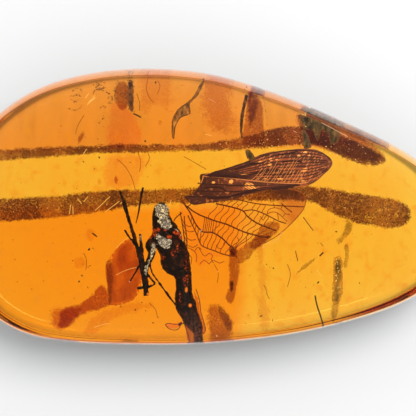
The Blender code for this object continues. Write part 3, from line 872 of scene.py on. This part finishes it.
leathery, tree, shader = finish_named("leathery_wing", Roughness=0.5, Specular_IOR_Level=0.25)
place = own_place(tree)
along_wing = add(tree, "Mapping", {}, {
    "Vector": place, "Rotation": (0, 0, math.radians(-9)), "Scale": (0.14, 1.0, 1.0)})
stripes = cloud(tree, along_wing.outputs[0], 1900.0, 4.0)
freckles = cloud(tree, place, 2100.0, 3.0)
window = marked(tree, "window")
tip = marked(tree, "tip")
dark = ramp(tree, stripes, [
    (0.38, (0.040, 0.010, 0.014)), (0.50, (0.125, 0.029, 0.030)), (0.64, (0.33, 0.080, 0.046))])
dark = blend(tree, between(tree, tip, 0.55, 0.0), dark, (0.055, 0.014, 0.016, 1))
freckled = combine(tree, "MULTIPLY", between(tree, freckles, 0.54, 0.72), 0.8)
lighter = combine(tree, "ADD", freckled, combine(tree, "MULTIPLY", tip, 0.16))
dark = blend(tree, lighter, dark, (0.55, 0.185, 0.095, 1))
holed = combine(tree, "ADD", window, combine(tree, "SUBTRACT", freckles, 0.5))
holed = combine(tree, "MULTIPLY", between(tree, holed, 0.40, 0.62), between(tree, window, 0.05, 0.2))
tree.links.new(blend(tree, holed, dark, (1.0, 0.45, 0.17, 1)), shader.inputs["Base Color"])
emboss(tree, shader, stripes, 0.5, 0.05)
rest_in_stone(forewing, leathery, "dark_wing", "insect_forewing")


def vein_finish(name, colour, roughness=0.45):
    """Horny vein, a little uneven in colour along its length."""
    made, tree, shader = finish_named(name, Roughness=roughness, Specular_IOR_Level=0.2)
    place = own_place(tree)
    uneven = cloud(tree, place, 1500.0, 2.0)
    paler = tuple(min(1.0, 1.6 * part) for part in colour)
    tree.links.new(
        blend(tree, uneven, (*colour, 1), (*paler, 1)), shader.inputs["Base Color"])
    return made


dark_vein = vein_finish("dark_vein", (0.030, 0.008, 0.012))
brown_vein = vein_finish("brown_vein", (0.10, 0.024, 0.018))
pale_vein = vein_finish("pale_vein", (0.52, 0.21, 0.095))

VEIN_HEIGHT = FOREWING_HEIGHT + 0.08
leading = flat_line(LEADING_VEIN, VEIN_HEIGHT)
fold = flat_line(FOLD_VEIN, VEIN_HEIGHT)
rear = flat_line(REAR_VEIN, VEIN_HEIGHT)
LONG_VEINS = 10
long_veins = []
for number in range(1, LONG_VEINS):
    share = number / LONG_VEINS
    long_veins.append([
        at_share(leading, i / 20).lerp(at_share(fold, i / 20), share) for i in range(1, 20 - number % 3)])
for share in (0.36, 0.72):
    long_veins.append([at_share(fold, i / 20).lerp(at_share(rear, i / 16), share) for i in range(0, 14)])
rest_in_stone(tubes("forewing_long_veins", long_veins, 0.060), dark_vein, "dark_wing")
rest_in_stone(tubes("forewing_edge_veins", [leading, rear], 0.075), dark_vein, "dark_wing")
rest_in_stone(tubes("forewing_streaks", [pixel_line(line, VEIN_HEIGHT) for line in DARK_STREAKS], 0.11),
              dark_vein, "dark_wing")
rest_in_stone(tubes("forewing_fold_vein", [fold[:18]], 0.050), pale_vein, "dark_wing")
ROOT_FRAME = [(201, 184.5), (202.5, 180.5), (203.5, 177), (206.5, 175.6), (211, 174.6)]
rest_in_stone(
    tubes("forewing_root_frame", [pixel_line(ROOT_FRAME, VEIN_HEIGHT)], 0.06), pale_vein, "dark_wing")

scatter = random.Random(11)
rungs = []
levels = [leading] + long_veins[:LONG_VEINS - 1] + [fold]
for upper, lower in zip(levels, levels[1:]):
    for i in range(17):
        across = 256 + 4.0 * i + scatter.uniform(-1.5, 1.5)
        start, end = above(upper, across), above(lower, across - scatter.uniform(0.4, 2.8))
        if (start - end).length < 1.2 * MM and scatter.random() < 0.78:
            rungs.append(swaying(start, end, 0.05))
for number in range(15):
    across = 268 + 3.3 * number + scatter.uniform(-0.8, 0.8)
    reach = scatter.choice((5, 6, 7)) if number < 11 else 4
    rungs.append([
        above(levels[k], across - 1.9 * k) + Vector((0, 0, 0.07 * MM)) for k in range(10 - reach, 11)])
rest_in_stone(tubes("forewing_cross_veins", rungs, 0.030), pale_vein, "dark_wing")
bars = []
for off in (-1.9, 0.1, 2.1):
    bar = [(244.4 - 0.5 * off, 184.8 + 0.87 * off), (255.0 - 0.5 * off, 191.0 + 0.87 * off)]
    bars.append(pixel_line(bar, VEIN_HEIGHT))
rest_in_stone(tubes("forewing_window_bars", bars, 0.036), brown_vein, "dark_wing")


# The hindwing
# The second wing on the same side, thin and clear with a smoky tip. Stout dark veins fan out from its
# root, and fine cross veins tie them, closing to a web at the rear edge.
HINDWING_HEIGHT = 5.90
HINDWING_EDGE = [
    (-2.88, 0.84), (-1.2, 1.0), (3.0, 1.73), (6.84, 2.2), (9.78, 1.93), (11.15, 1.6), (11.82, 0.8),
    (11.59, -0.32), (10.46, -1.69), (8.65, -3.28), (7.07, -4.18), (5.48, -4.86), (3.67, -5.09),
    (3.22, -5.76), (1.18, -5.83), (-0.6, -6.9), (-1.4, -5.83), (-1.92, -4.39), (-2.46, -2.35),
    (-2.88, -0.67),
]
STOUT_VEINS = {
    "arm": [(181, 199.4), (185.7, 205.5), (190.8, 213.2), (194.4, 220.8), (196.9, 224.9), (200, 228.5),
            (203.6, 231), (211.2, 231.3), (215.8, 233.1), (222, 237.2), (228.1, 243), (234.8, 247.8)],
    "middle": [(187.8, 206.5), (193.4, 211.1), (201, 215.2), (209.2, 218.3), (216.3, 220.8), (227.1, 223.9),
               (242.4, 230.6), (255.8, 234.4), (261.6, 235.9), (269.2, 235.4)],
    "fork": [(215.7, 203.8), (229, 206.7), (241.5, 210.5), (246.3, 215.8), (253.9, 221.5), (263.5, 225.8),
             (275, 230.1)],
}
SLIM_VEINS = {
    "fork_branch": [(242.9, 211), (251, 210), (258.7, 212), (267.3, 215.8), (276.9, 220.6), (284.5, 223)],
    "far": [
        (206, 195.5), (222, 198), (238.6, 200.5), (249.1, 202.9), (261.6, 204.8), (280.7, 206.2),
        (301.8, 207.2)],
    "oblique": [(279.7, 203.8), (285, 208.6), (290.3, 212.4)],
    "near": [(188.3, 215.2), (190.8, 220.8), (193.4, 225.9), (195.9, 231), (198, 236.1), (199.5, 240.2),
             (201.5, 243.8), (206.1, 246.3), (213.8, 248.9), (221.4, 251.9), (230, 254)],
    "rear": [(184.7, 215.7), (185.2, 223.4), (186.2, 230), (187.2, 238.7), (187.2, 246.3), (188.4, 256)],
    "rear_twin": [(180.6, 211.6), (182.6, 222), (184.5, 236), (186.6, 252)],
    "root": [(182.6, 212.6), (176.5, 217.5), (174.5, 221.0)],
    "root_twin": [(183.0, 201.5), (187.8, 206.5), (192.5, 202.5)],
}
WEB = [
    [(262, 220), (266, 214), (271, 212), (276, 213), (281, 217)],
    [(266, 214), (267, 210), (273, 208), (279, 209.5), (283.5, 213.5), (281, 217), (285.5, 221)],
    [(273, 208), (272, 203.5)],
    [(279, 209.5), (281, 206)],
    [(262, 220), (259, 216)],
    [(276, 213), (277, 219.5)],
    [(283.5, 213.5), (288, 215)],
    [(216, 243.5), (218.5, 247), (222, 246), (224, 241)],
    [(229, 249.5), (233, 243.5), (238, 240), (236.5, 236)],
    [(243.5, 245), (246, 241), (245.5, 236), (248, 233)],
    [(206, 254), (209, 251.5), (212.5, 254), (211, 257), (213.5, 261)],
    [(195, 249), (198, 245.5), (201.5, 248)],
    [(188, 246), (194, 249), (197, 254), (196, 260)],
    [(188, 252), (192, 256), (191, 262)],
    [(199, 246), (203, 253), (206, 254)],
    [(186.5, 236), (191, 239), (196, 238)],
    [(186, 229), (190, 231), (195, 230)],
    [(185.3, 223.5), (189, 226), (192, 225)],
    [(187.2, 243), (193, 246), (198, 243)],
    [(209, 262), (213, 258), (219, 261), (224, 259)],
    [(200, 262), (204, 258), (209, 262)],
]

membrane = sheet_of(
    "hindwing_membrane", flat_line(HINDWING_EDGE, HINDWING_HEIGHT - 0.06, 3, closed=True), 0.05)
clear, tree, shader = finish_named("clear_wing_skin", Transmission_Weight=1.0, IOR=1.0, Roughness=0.0)
place = own_place(tree)
veiny = cloud(tree, place, 600.0, 3.0)
uneven = swing(tree, veiny, 1.6 * MM)


def reach_from(across, along, stretch):
    """How far a place on the wing lies from a point in millimetres, with X shrunk by a share."""
    moved = add(tree, "Mapping", {}, {
        "Vector": place, "Location": (-across * stretch * MM, -along * MM, 0),
        "Scale": (stretch, 1.0, 0.0)})
    length = add(tree, "VectorMath", {"operation": "LENGTH"}, {0: moved.outputs[0]}).outputs["Value"]
    return combine(tree, "ADD", length, uneven)


smoke = between(tree, reach_from(10.2, 2.15, 0.45), 2.2 * MM, 0.5 * MM)
rust = between(tree, reach_from(10.8, -0.1, 1.0), 3.0 * MM, 1.2 * MM)
wash = blend(tree, veiny, (1.0, 0.92, 0.98, 1), (0.98, 0.80, 0.94, 1))
wash = blend(tree, rust, wash, (0.74, 0.46, 0.74, 1))
tree.links.new(blend(tree, smoke, wash, (0.36, 0.26, 0.62, 1)), shader.inputs["Base Color"])
rest_in_stone(membrane, clear, "clear_wing", "insect_hindwing")

wing_vein = vein_finish("wing_vein", (0.085, 0.014, 0.006))
fine_vein = vein_finish("fine_vein", (0.17, 0.034, 0.010))
veins = {}
for name, kind, radius in (
        ("hindwing_stout_veins", STOUT_VEINS, 0.085), ("hindwing_slim_veins", SLIM_VEINS, 0.062)):
    lines = {vein: pixel_line(points, HINDWING_HEIGHT) for vein, points in kind.items()}
    rest_in_stone(tubes(name, list(lines.values()), radius), wing_vein, "clear_wing")
    veins.update(lines)

# Each tie: the veins it joins, the pixels across where its lines start, and how far back their ends lie
TIES = [
    ("fork", "middle", [217, 223, 228.5, 234, 239.5, 245, 250, 255, 260, 266, 271.5], 8.5, 0.20),
    ("far", "fork", [222, 227, 232, 237, 242, 247], 5.5, 0.12),
    ("far", "fork_branch", [254, 259, 264], 3.0, 0.06),
    ("fork_branch", "fork", [252, 257, 262, 267, 272.5], 4.0, 0.10),
    ("middle", "arm", [204.5, 206.3, 208, 209.8, 211.6, 213.6, 216], 1.2, 0.04),
    ("middle", "arm", [219.5, 224, 228.5, 233, 237.5, 242, 247, 252], 6.5, 0.16),
    ("arm", "near", [204, 208, 212, 216, 220, 224.5, 229.5], 4.5, 0.10),
    ("arm", "near", [192, 194, 196, 198.4, 201], 0.6, 0.02),
]
threads = [pixel_line(points, HINDWING_HEIGHT, 2) for points in WEB]
for upper, lower, starts, back, sway in TIES:
    for across in starts:
        threads.append(swaying(above(veins[upper], across), above(veins[lower], across - back), sway))
for share in (0.2, 0.34, 0.48, 0.62, 0.76):
    threads.append(swaying(at_share(veins["rear_twin"], share), at_share(veins["rear"], share + 0.04), 0))
threads.append(flat_line(HINDWING_EDGE[4:12], HINDWING_HEIGHT, 3))
rest_in_stone(tubes("hindwing_cross_veins", threads, 0.043), fine_vein, "clear_wing")


# The bark and leaf scraps
# Flakes of bark and leaf that the resin caught as it ran down the trunk. They are brittle, gritty and
# torn at their edges, the thinnest ones brown and half clear.
def scrap_finish(name, deep, middle, light, rim_colour, grain_scale, body_share):
    """Torn plant stuff: deep in its hollows, lighter on its grain, and frayed away to nothing at its rim."""
    made, tree, shader = finish_named(name, Roughness=0.6, Specular_IOR_Level=0.2)
    place = own_place(tree)
    fibres = add(tree, "Mapping", {}, {"Vector": place, "Scale": (1.0, 0.45, 1.0)})
    grain = cloud(tree, fibres.outputs[0], grain_scale, 5.0)
    dust = cloud(tree, place, 4 * grain_scale, 2.0)
    fade = marked(tree, "rim")
    body = ramp(tree, grain, [(0.34, deep), (0.50, middle), (0.68, light)])
    torn = swing(tree, dust, 1.2)
    ragged = between(tree, combine(tree, "ADD", fade, torn), 0.75, 0.15)
    tree.links.new(blend(tree, ragged, body, (*rim_colour, 1)), shader.inputs["Base Color"])
    frayed = between(tree, combine(tree, "ADD", fade, torn), -0.08, 0.14)
    tree.links.new(combine(tree, "MULTIPLY", frayed, body_share), shader.inputs["Alpha"])
    emboss(tree, shader, dust, 0.7, 0.06)
    return made


brown_bark = scrap_finish("brown_bark", (0.30, 0.050, 0.0008), (0.42, 0.080, 0.001), (0.56, 0.130, 0.003),
                          (0.52, 0.115, 0.002), 900.0, 0.93)
dark_bark = scrap_finish("dark_bark", (0.018, 0.007, 0.003), (0.070, 0.022, 0.008), (0.25, 0.082, 0.026),
                         (0.22, 0.070, 0.018), 3000.0, 0.94)
dark_leaf = scrap_finish("dark_leaf", (0.012, 0.009, 0.005), (0.055, 0.036, 0.016), (0.200, 0.110, 0.042),
                         (0.150, 0.060, 0.024), 2200.0, 0.96)
olive_leaf = scrap_finish("olive_leaf", (0.050, 0.034, 0.010), (0.24, 0.140, 0.030), (0.58, 0.31, 0.060),
                          (0.50, 0.27, 0.040), 1100.0, 0.86)
grey_flake = scrap_finish("grey_flake", (0.045, 0.018, 0.007), (0.32, 0.125, 0.030), (0.78, 0.33, 0.070),
                          (0.085, 0.030, 0.010), 2000.0, 0.90)

# Each scrap: its name, finish, skin's face size, push of the lumps, soft rim in pixels, and outline in pixels
BARK_PIECES = {
    "bark_flake": ("torn_bark_flake", brown_bark, 0.10, 0.14, 4.0, [
        (117.4, 247.8), (129.8, 238.3), (136.5, 245.9), (141.3, 259.3), (143.2, 272.7), (134.6, 296.5),
        (109, 302.5), (108, 284.2), (106.3, 265.1), (113.2, 259.3)]),
    "bark_splinter": ("gritty_splinter", dark_bark, 0.06, 0.34, 1.6, [
        (129.6, 84), (134.2, 84), (134.9, 103), (134.7, 114), (131.6, 114.5), (129, 104)]),
    "curled_flake": ("curled_flake_skin", grey_flake, 0.06, 0.16, 2.4, [
        (204, 84.7), (197.5, 98.9), (190, 106.4), (190.4, 116.8), (180.8, 120.6), (176.3, 128.9),
        (175, 140.6), (172.5, 139.7), (172.5, 123.9), (178.3, 112.2), (191.7, 101.8), (201.3, 85.6)]),
    "leaf_scrap": ("leaf_scrap_skin", dark_leaf, 0.09, 0.40, 2.0, [
        (296.7, 118), (310, 120.6), (324.2, 127.2), (337.5, 133.9), (335, 146.4), (328.3, 147.2),
        (326.7, 137.2), (319.2, 133.1), (315.8, 144.7), (310.8, 133.9), (301.7, 131.8)]),
    "edge_flake": ("olive_edge_flake", olive_leaf, 0.09, 0.30, 3.0, [
        (332.6, 255.7), (340.2, 256.7), (340.8, 271.8), (341.1, 289.7), (336.4, 300.1), (330.8, 298.1),
        (331.7, 266.1)]),
}
for node, (name, finish, voxel, push, soft, outline) in BARK_PIECES.items():
    scrap = copy_of(node, name)
    reskinned(scrap, voxel, [(lumps, push), (wrinkles, push / 2)])
    mark(scrap, "rim", edge_share(outline, soft))
    rest_in_stone(scrap, finish, "bark", node)

sliver = copy_of("bark_sliver", "bark_sliver_skin")
reskinned(sliver, 0.05, [(wrinkles, 0.16)])
mark(sliver, "rim", lambda across, down, height: 1.0)
rest_in_stone(sliver, dark_bark, "bark", "bark_sliver")


# The dust, hairs and cracks
# Grit lies along the two seams and loose in the resin, with plant hairs, two crumbs of leaf, and scratches
# and short cracks that catch the light. The gold of the bright grit, the flake glints, the sparks and the
# scratches and the pale of the cracks are painted glints.
def grit(name, places, size, shape):
    """Small irregular grains, each a rough ball of a few faces, joined in one piece."""
    piece = started(name)
    for place in places:
        bpy.ops.mesh.primitive_ico_sphere_add(
            subdivisions=1, radius=size * MM * scatter.uniform(0.5, 1.5), location=place,
            rotation=[scatter.uniform(0, math.pi) for _ in range(3)],
            scale=(scatter.uniform(1.0, shape), scatter.uniform(0.6, 1.0), scatter.uniform(0.4, 0.9)))
    bpy.ops.object.mode_set(mode="OBJECT")
    apply(piece, "DISPLACE", texture=crinkles, strength=size * 0.5 * MM, mid_level=0.5)
    return piece


def strewn(outline, low, high, count):
    """Random places over an outline of pixels, between two heights."""
    across = [x for x, _ in outline]
    down = [y for _, y in outline]
    places = []
    while len(places) < count:
        x, y = scatter.uniform(min(across), max(across)), scatter.uniform(min(down), max(down))
        if inside(x, y, outline):
            places.append(spot(x, y, scatter.uniform(low, high)))
    return places


WHOLE_FACE = [(-20, 190), (30, 110), (130, 78), (200, 80), (280, 100), (360, 165), (400, 230), (350, 290),
              (280, 320), (180, 332), (60, 326), (0, 280)]
SPLINTER_SIDE = [(121, 96), (125, 94), (129, 95), (128.5, 101), (123, 101)]
SPLINTER_EDGES = [(127.5, 76), (135.5, 76), (136, 114), (133, 118), (127.5, 108)]
ELLIPSE_EDGE = [(117.5, 85), (120, 82), (118.5, 92), (116.8, 101), (119, 108), (115.8, 104), (115.6, 92)]
STAR_CLUSTER = [(96, 87), (101, 84), (107, 86), (105, 93), (98, 94)]
SPLINTER_TOP = [(129, 77), (135, 76), (135, 88), (129, 88)]
SEAM_SPARKLES = [(166, 147.5), (175.5, 147.5), (175.5, 151), (166, 151)]
SLIVER_SIDE = [(240, 92), (250, 88), (248, 112), (243, 126), (238, 120), (242, 104)]
SPARKLE_FIELD = [(250, 138), (258, 132), (266, 132), (267, 146), (256, 148), (246, 146)]
soot = vein_finish("soot", (0.030, 0.014, 0.010), 0.7)
rust_dust = vein_finish("rust_dust", (0.20, 0.055, 0.018), 0.7)
# Painted glints: this gold stands in for light caught by grit, flake edges, sparks and scratches
painted_glint = vein_finish("painted_gold_glint", (0.85, 0.55, 0.30), 0.3)
# A painted glint: the pale colour stands in for light caught in the cracks
crack_glint = vein_finish("painted_crack_glint", (0.62, 0.40, 0.30), 0.4)
GLINTS = [(332, 256), (343, 256), (343, 270), (341, 292), (335, 292), (333, 272)]
# Each strewing: its finish, grain size in millimetres and longest shape, and the fields it lies in, with the
# lowest and highest place in millimetres and the count of grains in each
STREWINGS = {
    "dark_grit": (soot, 0.040, 1.8, [(FAR_SEAM, 4.3, 4.9, 220), (NEAR_SEAM, 3.4, 4.0, 260)]),
    "rust_grit": (rust_dust, 0.05, 2.2, [(FAR_SEAM, 4.4, 5.0, 110), (NEAR_SEAM, 3.5, 4.1, 140)]),
    # The gold of this grit is a painted glint
    "bright_grit": (painted_glint, 0.042, 2.0, [
        (FAR_SEAM, 4.8, 5.4, 90), (NEAR_SEAM, 3.8, 4.4, 80), (SPARKLE_FIELD, 5.0, 6.0, 20),
        (SEAM_SPARKLES, 5.0, 5.4, 10)]),
    "loose_grit": (rust_dust, 0.052, 1.8, [(WHOLE_FACE, 2.5, 8.0, 190)]),
    "loose_soot": (soot, 0.050, 1.8, [(WHOLE_FACE, 2.5, 8.0, 70)]),
    "splinter_grit": (soot, 0.060, 2.0, [
        (SPLINTER_SIDE, 6.8, 7.2, 26), (SPLINTER_EDGES, 6.8, 7.3, 46), (ELLIPSE_EDGE, 6.2, 6.5, 34),
        (STAR_CLUSTER, 6.4, 7.0, 30), (SPLINTER_TOP, 6.2, 7.0, 22), (SLIVER_SIDE, 6.2, 7.0, 30)]),
    # The gold of these flake glints is a painted glint
    "flake_glints": (painted_glint, 0.055, 2.4, [(GLINTS, 5.1, 5.5, 40)]),
}
for name, (finish, size, shape, fields) in STREWINGS.items():
    places = []
    for field in fields:
        places += strewn(*field)
    rest_in_stone(grit(name, places, size, shape), finish, "bark")

HAIRS = [
    [(293.6, 249), (296, 259)],
    [(301, 217), (311, 230)],
    [(173.3, 128), (174, 134), (174.3, 141.2)],
    [(196, 286), (199.5, 297), (201, 309), (204.5, 321), (205.5, 327), (203, 330.5)],
    [(165.8, 321.4), (169, 320), (174, 320.8), (178, 320.8), (182, 318.6)],
    [(165.8, 321.4), (168.5, 324.6), (173, 326.6), (178, 326.2), (181, 322), (182, 318.6)],
    [(178, 305), (181, 312), (185, 322), (189, 334), (190.5, 342)],
]
DOTTED_LINES = [
    [(75, 93), (80, 91), (84, 94)],
    [(73, 99.5), (78, 98), (83.5, 99.5)],
    [(73.5, 102), (76.5, 104.5), (80, 102.5)],
    [(71.5, 111), (77, 113), (83.5, 110)],
    [(95, 88), (100, 91), (105, 94)],
    [(96.5, 94), (101, 92), (106, 91)],
    [(100, 86), (98.5, 90), (95.5, 96)],
    [(107.5, 95), (111, 97)],
    [(109.5, 101.5), (112.5, 99.5), (113.8, 102.5), (110.5, 105), (113, 107.5)],
    [(102.5, 111), (106.5, 109), (106, 117), (104.5, 122), (101, 126)],
    [(262, 99), (263.5, 108), (266, 122), (263.5, 138)],
    [(247.5, 86), (245, 92), (245.5, 99), (243, 110), (241, 121), (240, 133), (241, 143)],
]
FAINT_HAIRS = [
    [(119, 161), (126, 167), (133, 178), (137, 191)],
    [(184, 158.5), (194, 164), (206, 171)],
    [(139, 154), (142, 163), (141, 173)],
    [(148, 153), (150.5, 160), (146.5, 168)],
    [(137.5, 97), (140.5, 106), (140.5, 114)],
    [(149, 80), (147, 91), (149.5, 100), (154.5, 106)],
    [(158, 84), (160.5, 90), (158, 97)],
    [(86, 118), (80, 128), (78, 136)],
    [(262.5, 282), (265, 286), (266, 291), (268.3, 296)],
    [(318, 241.6), (321, 245)],
    [(328.5, 311), (332.4, 308)],
    [(86, 252), (89, 259), (88, 268)],
    [(90.6, 266), (92, 264), (93.5, 264)],
    [(150, 300), (156, 306), (158, 314)],
    [(214, 262), (218, 270), (217, 280)],
    [(286, 262), (289, 272), (286, 284)],
]
STOUT_HAIRS = [
    [(313.2, 292.8), (315, 302), (319, 314), (322.3, 325.3)],
    [(134.6, 116.7), (138, 118), (142.2, 120.4)],
    [(317.4, 254.4), (321, 250.8)],
    [(94.8, 232.4), (99.4, 236)],
]
CRACKS = [
    [(208, 101.3), (211.5, 103), (214.9, 105.5)],
    [(261, 247), (265.5, 242), (275, 239.4), (280, 231)],
    [(319.1, 124.7), (332, 131.5), (345.7, 139)],
    [(291, 133), (295, 135)],
]
FLAKE_SCRATCHES = [
    [(118.4, 246.9), (124, 241), (129.8, 236.8)],
    [(117.4, 272.7), (127, 268), (137.5, 265)],
    [(95.4, 324), (103, 321), (110.7, 320)],
]
SILVER_THREADS = [
    [(174.8, 227.7), (178.5, 230), (181, 234), (183.4, 240.2)],
    [(199, 233), (201, 230), (203, 228)],
    [(130.4, 278.4), (131.4, 280.2)],
]
SCRATCHES = [
    [(97.3, 210.5), (107.8, 201)], [(106.9, 212), (121.2, 201.4)], [(73, 205), (72, 214)],
    [(80, 199), (84, 204)], [(90, 197), (86, 202)], [(112, 197), (107, 201)], [(126, 200), (122, 204)],
    [(84, 158), (88, 152), (89, 151)], [(87, 101), (90, 97)], [(91, 106), (96, 99)], [(89, 108), (92, 103)],
    [(93, 104), (97, 101)], [(205, 137), (211, 139)], [(300, 117), (306, 121)], [(302, 113), (304, 120)],
    [(315, 267.4), (319.4, 273.7)], [(75.3, 206), (75.5, 214)], [(172, 200), (170, 206)],
    [(196, 192), (192, 197)],
]


def lay_threads(name, lines, height, radius, finish, slot, steps=3):
    """Seals round threads in the stone along lines of pixels."""
    rest_in_stone(tubes(name, [pixel_line(line, height, steps) for line in lines], radius), finish, slot)


lay_threads("plant_hairs", HAIRS, 6.4, 0.050, brown_vein, "bark")
lay_threads("stout_hairs", STOUT_HAIRS, 6.4, 0.085, soot, "bark")
lay_threads("faint_hairs", FAINT_HAIRS, 5.6, 0.034, fine_vein, "bark")
dots = []
for line in DOTTED_LINES:
    for place in pixel_line(line, 6.4, 7):
        dots.append(place + 0.09 * MM * Vector((scatter.uniform(-1, 1), scatter.uniform(-1, 1), 0)))
rest_in_stone(grit("dotted_lines", dots, 0.050, 2.4), brown_vein, "bark")
# The pale of these cracks is a painted glint
lay_threads("bright_cracks", CRACKS, 7.4, 0.022, crack_glint, "amber")
# The gold of these scratches is a painted glint
lay_threads("flake_scratches", FLAKE_SCRATCHES, 5.0, 0.020, painted_glint, "amber")
# The silver threads carry the same painted sheen
lay_threads("silver_threads", SILVER_THREADS, 7.2, 0.030, silvery, "chitin")
# The gold of these scratches is a painted glint
lay_threads("glinting_scratches", SCRATCHES, 4.8, 0.036, painted_glint, "amber", steps=2)

GRAINS = [
    (333.5, 231), (75.3, 259.3), (84.4, 273.7), (81.5, 279.4), (91.6, 248.3), (105, 129), (156.3, 85.5),
    (200.6, 111.4), (146.4, 143.5), (131.7, 163.8), (101.5, 159), (142.8, 299.5), (265.4, 262.2),
    (122.2, 303.3), (136.5, 306.7), (146.6, 307.6), (153.8, 319.6), (272.1, 266), (260.1, 312.9),
    (271.6, 317.2), (316.1, 279.9), (95.4, 247.4), (97.8, 249.7), (90.1, 285.1), (191, 126), (86, 163),
    (97, 170), (79.5, 189), (100, 141),
]
rest_in_stone(grit("single_grains", [spot(*grain, 6.5) for grain in GRAINS], 0.10, 1.8), soot, "bark")
# The gold of these sparks is a painted glint
SPARKS = [(317.3, 190), (331, 155), (304, 115.6), (216.6, 333), (217.6, 269.4), (341, 208)]
rest_in_stone(grit("bright_sparks", [spot(*spark, 7.0) for spark in SPARKS], 0.07, 1.2), painted_glint, "bark")
LEAF_CRUMBS = {
    "wing_crumb": [(244, 153), (248, 152), (252, 156), (254, 161), (249, 163), (245.5, 159)],
    "tip_crumb": [
        (299, 134), (303, 132), (306, 138), (308, 143), (309, 149), (303, 151), (300, 146), (301, 140)],
}
for name, outline in LEAF_CRUMBS.items():
    crumb = sheet_of(name, [spot(*place, 7.1) for place in eased(outline, 3, closed=True)], 0.2)
    reskinned(crumb, 0.05, [(lumps, 0.2), (wrinkles, 0.1)])
    mark(crumb, "rim", edge_share(outline, 2.0))
    rest_in_stone(crumb, dark_leaf, "bark")

rest_in_stone(stone, None, "amber", "amber_upper_half", "amber_lower_half")

bpy.ops.object.select_all(action="DESELECT")
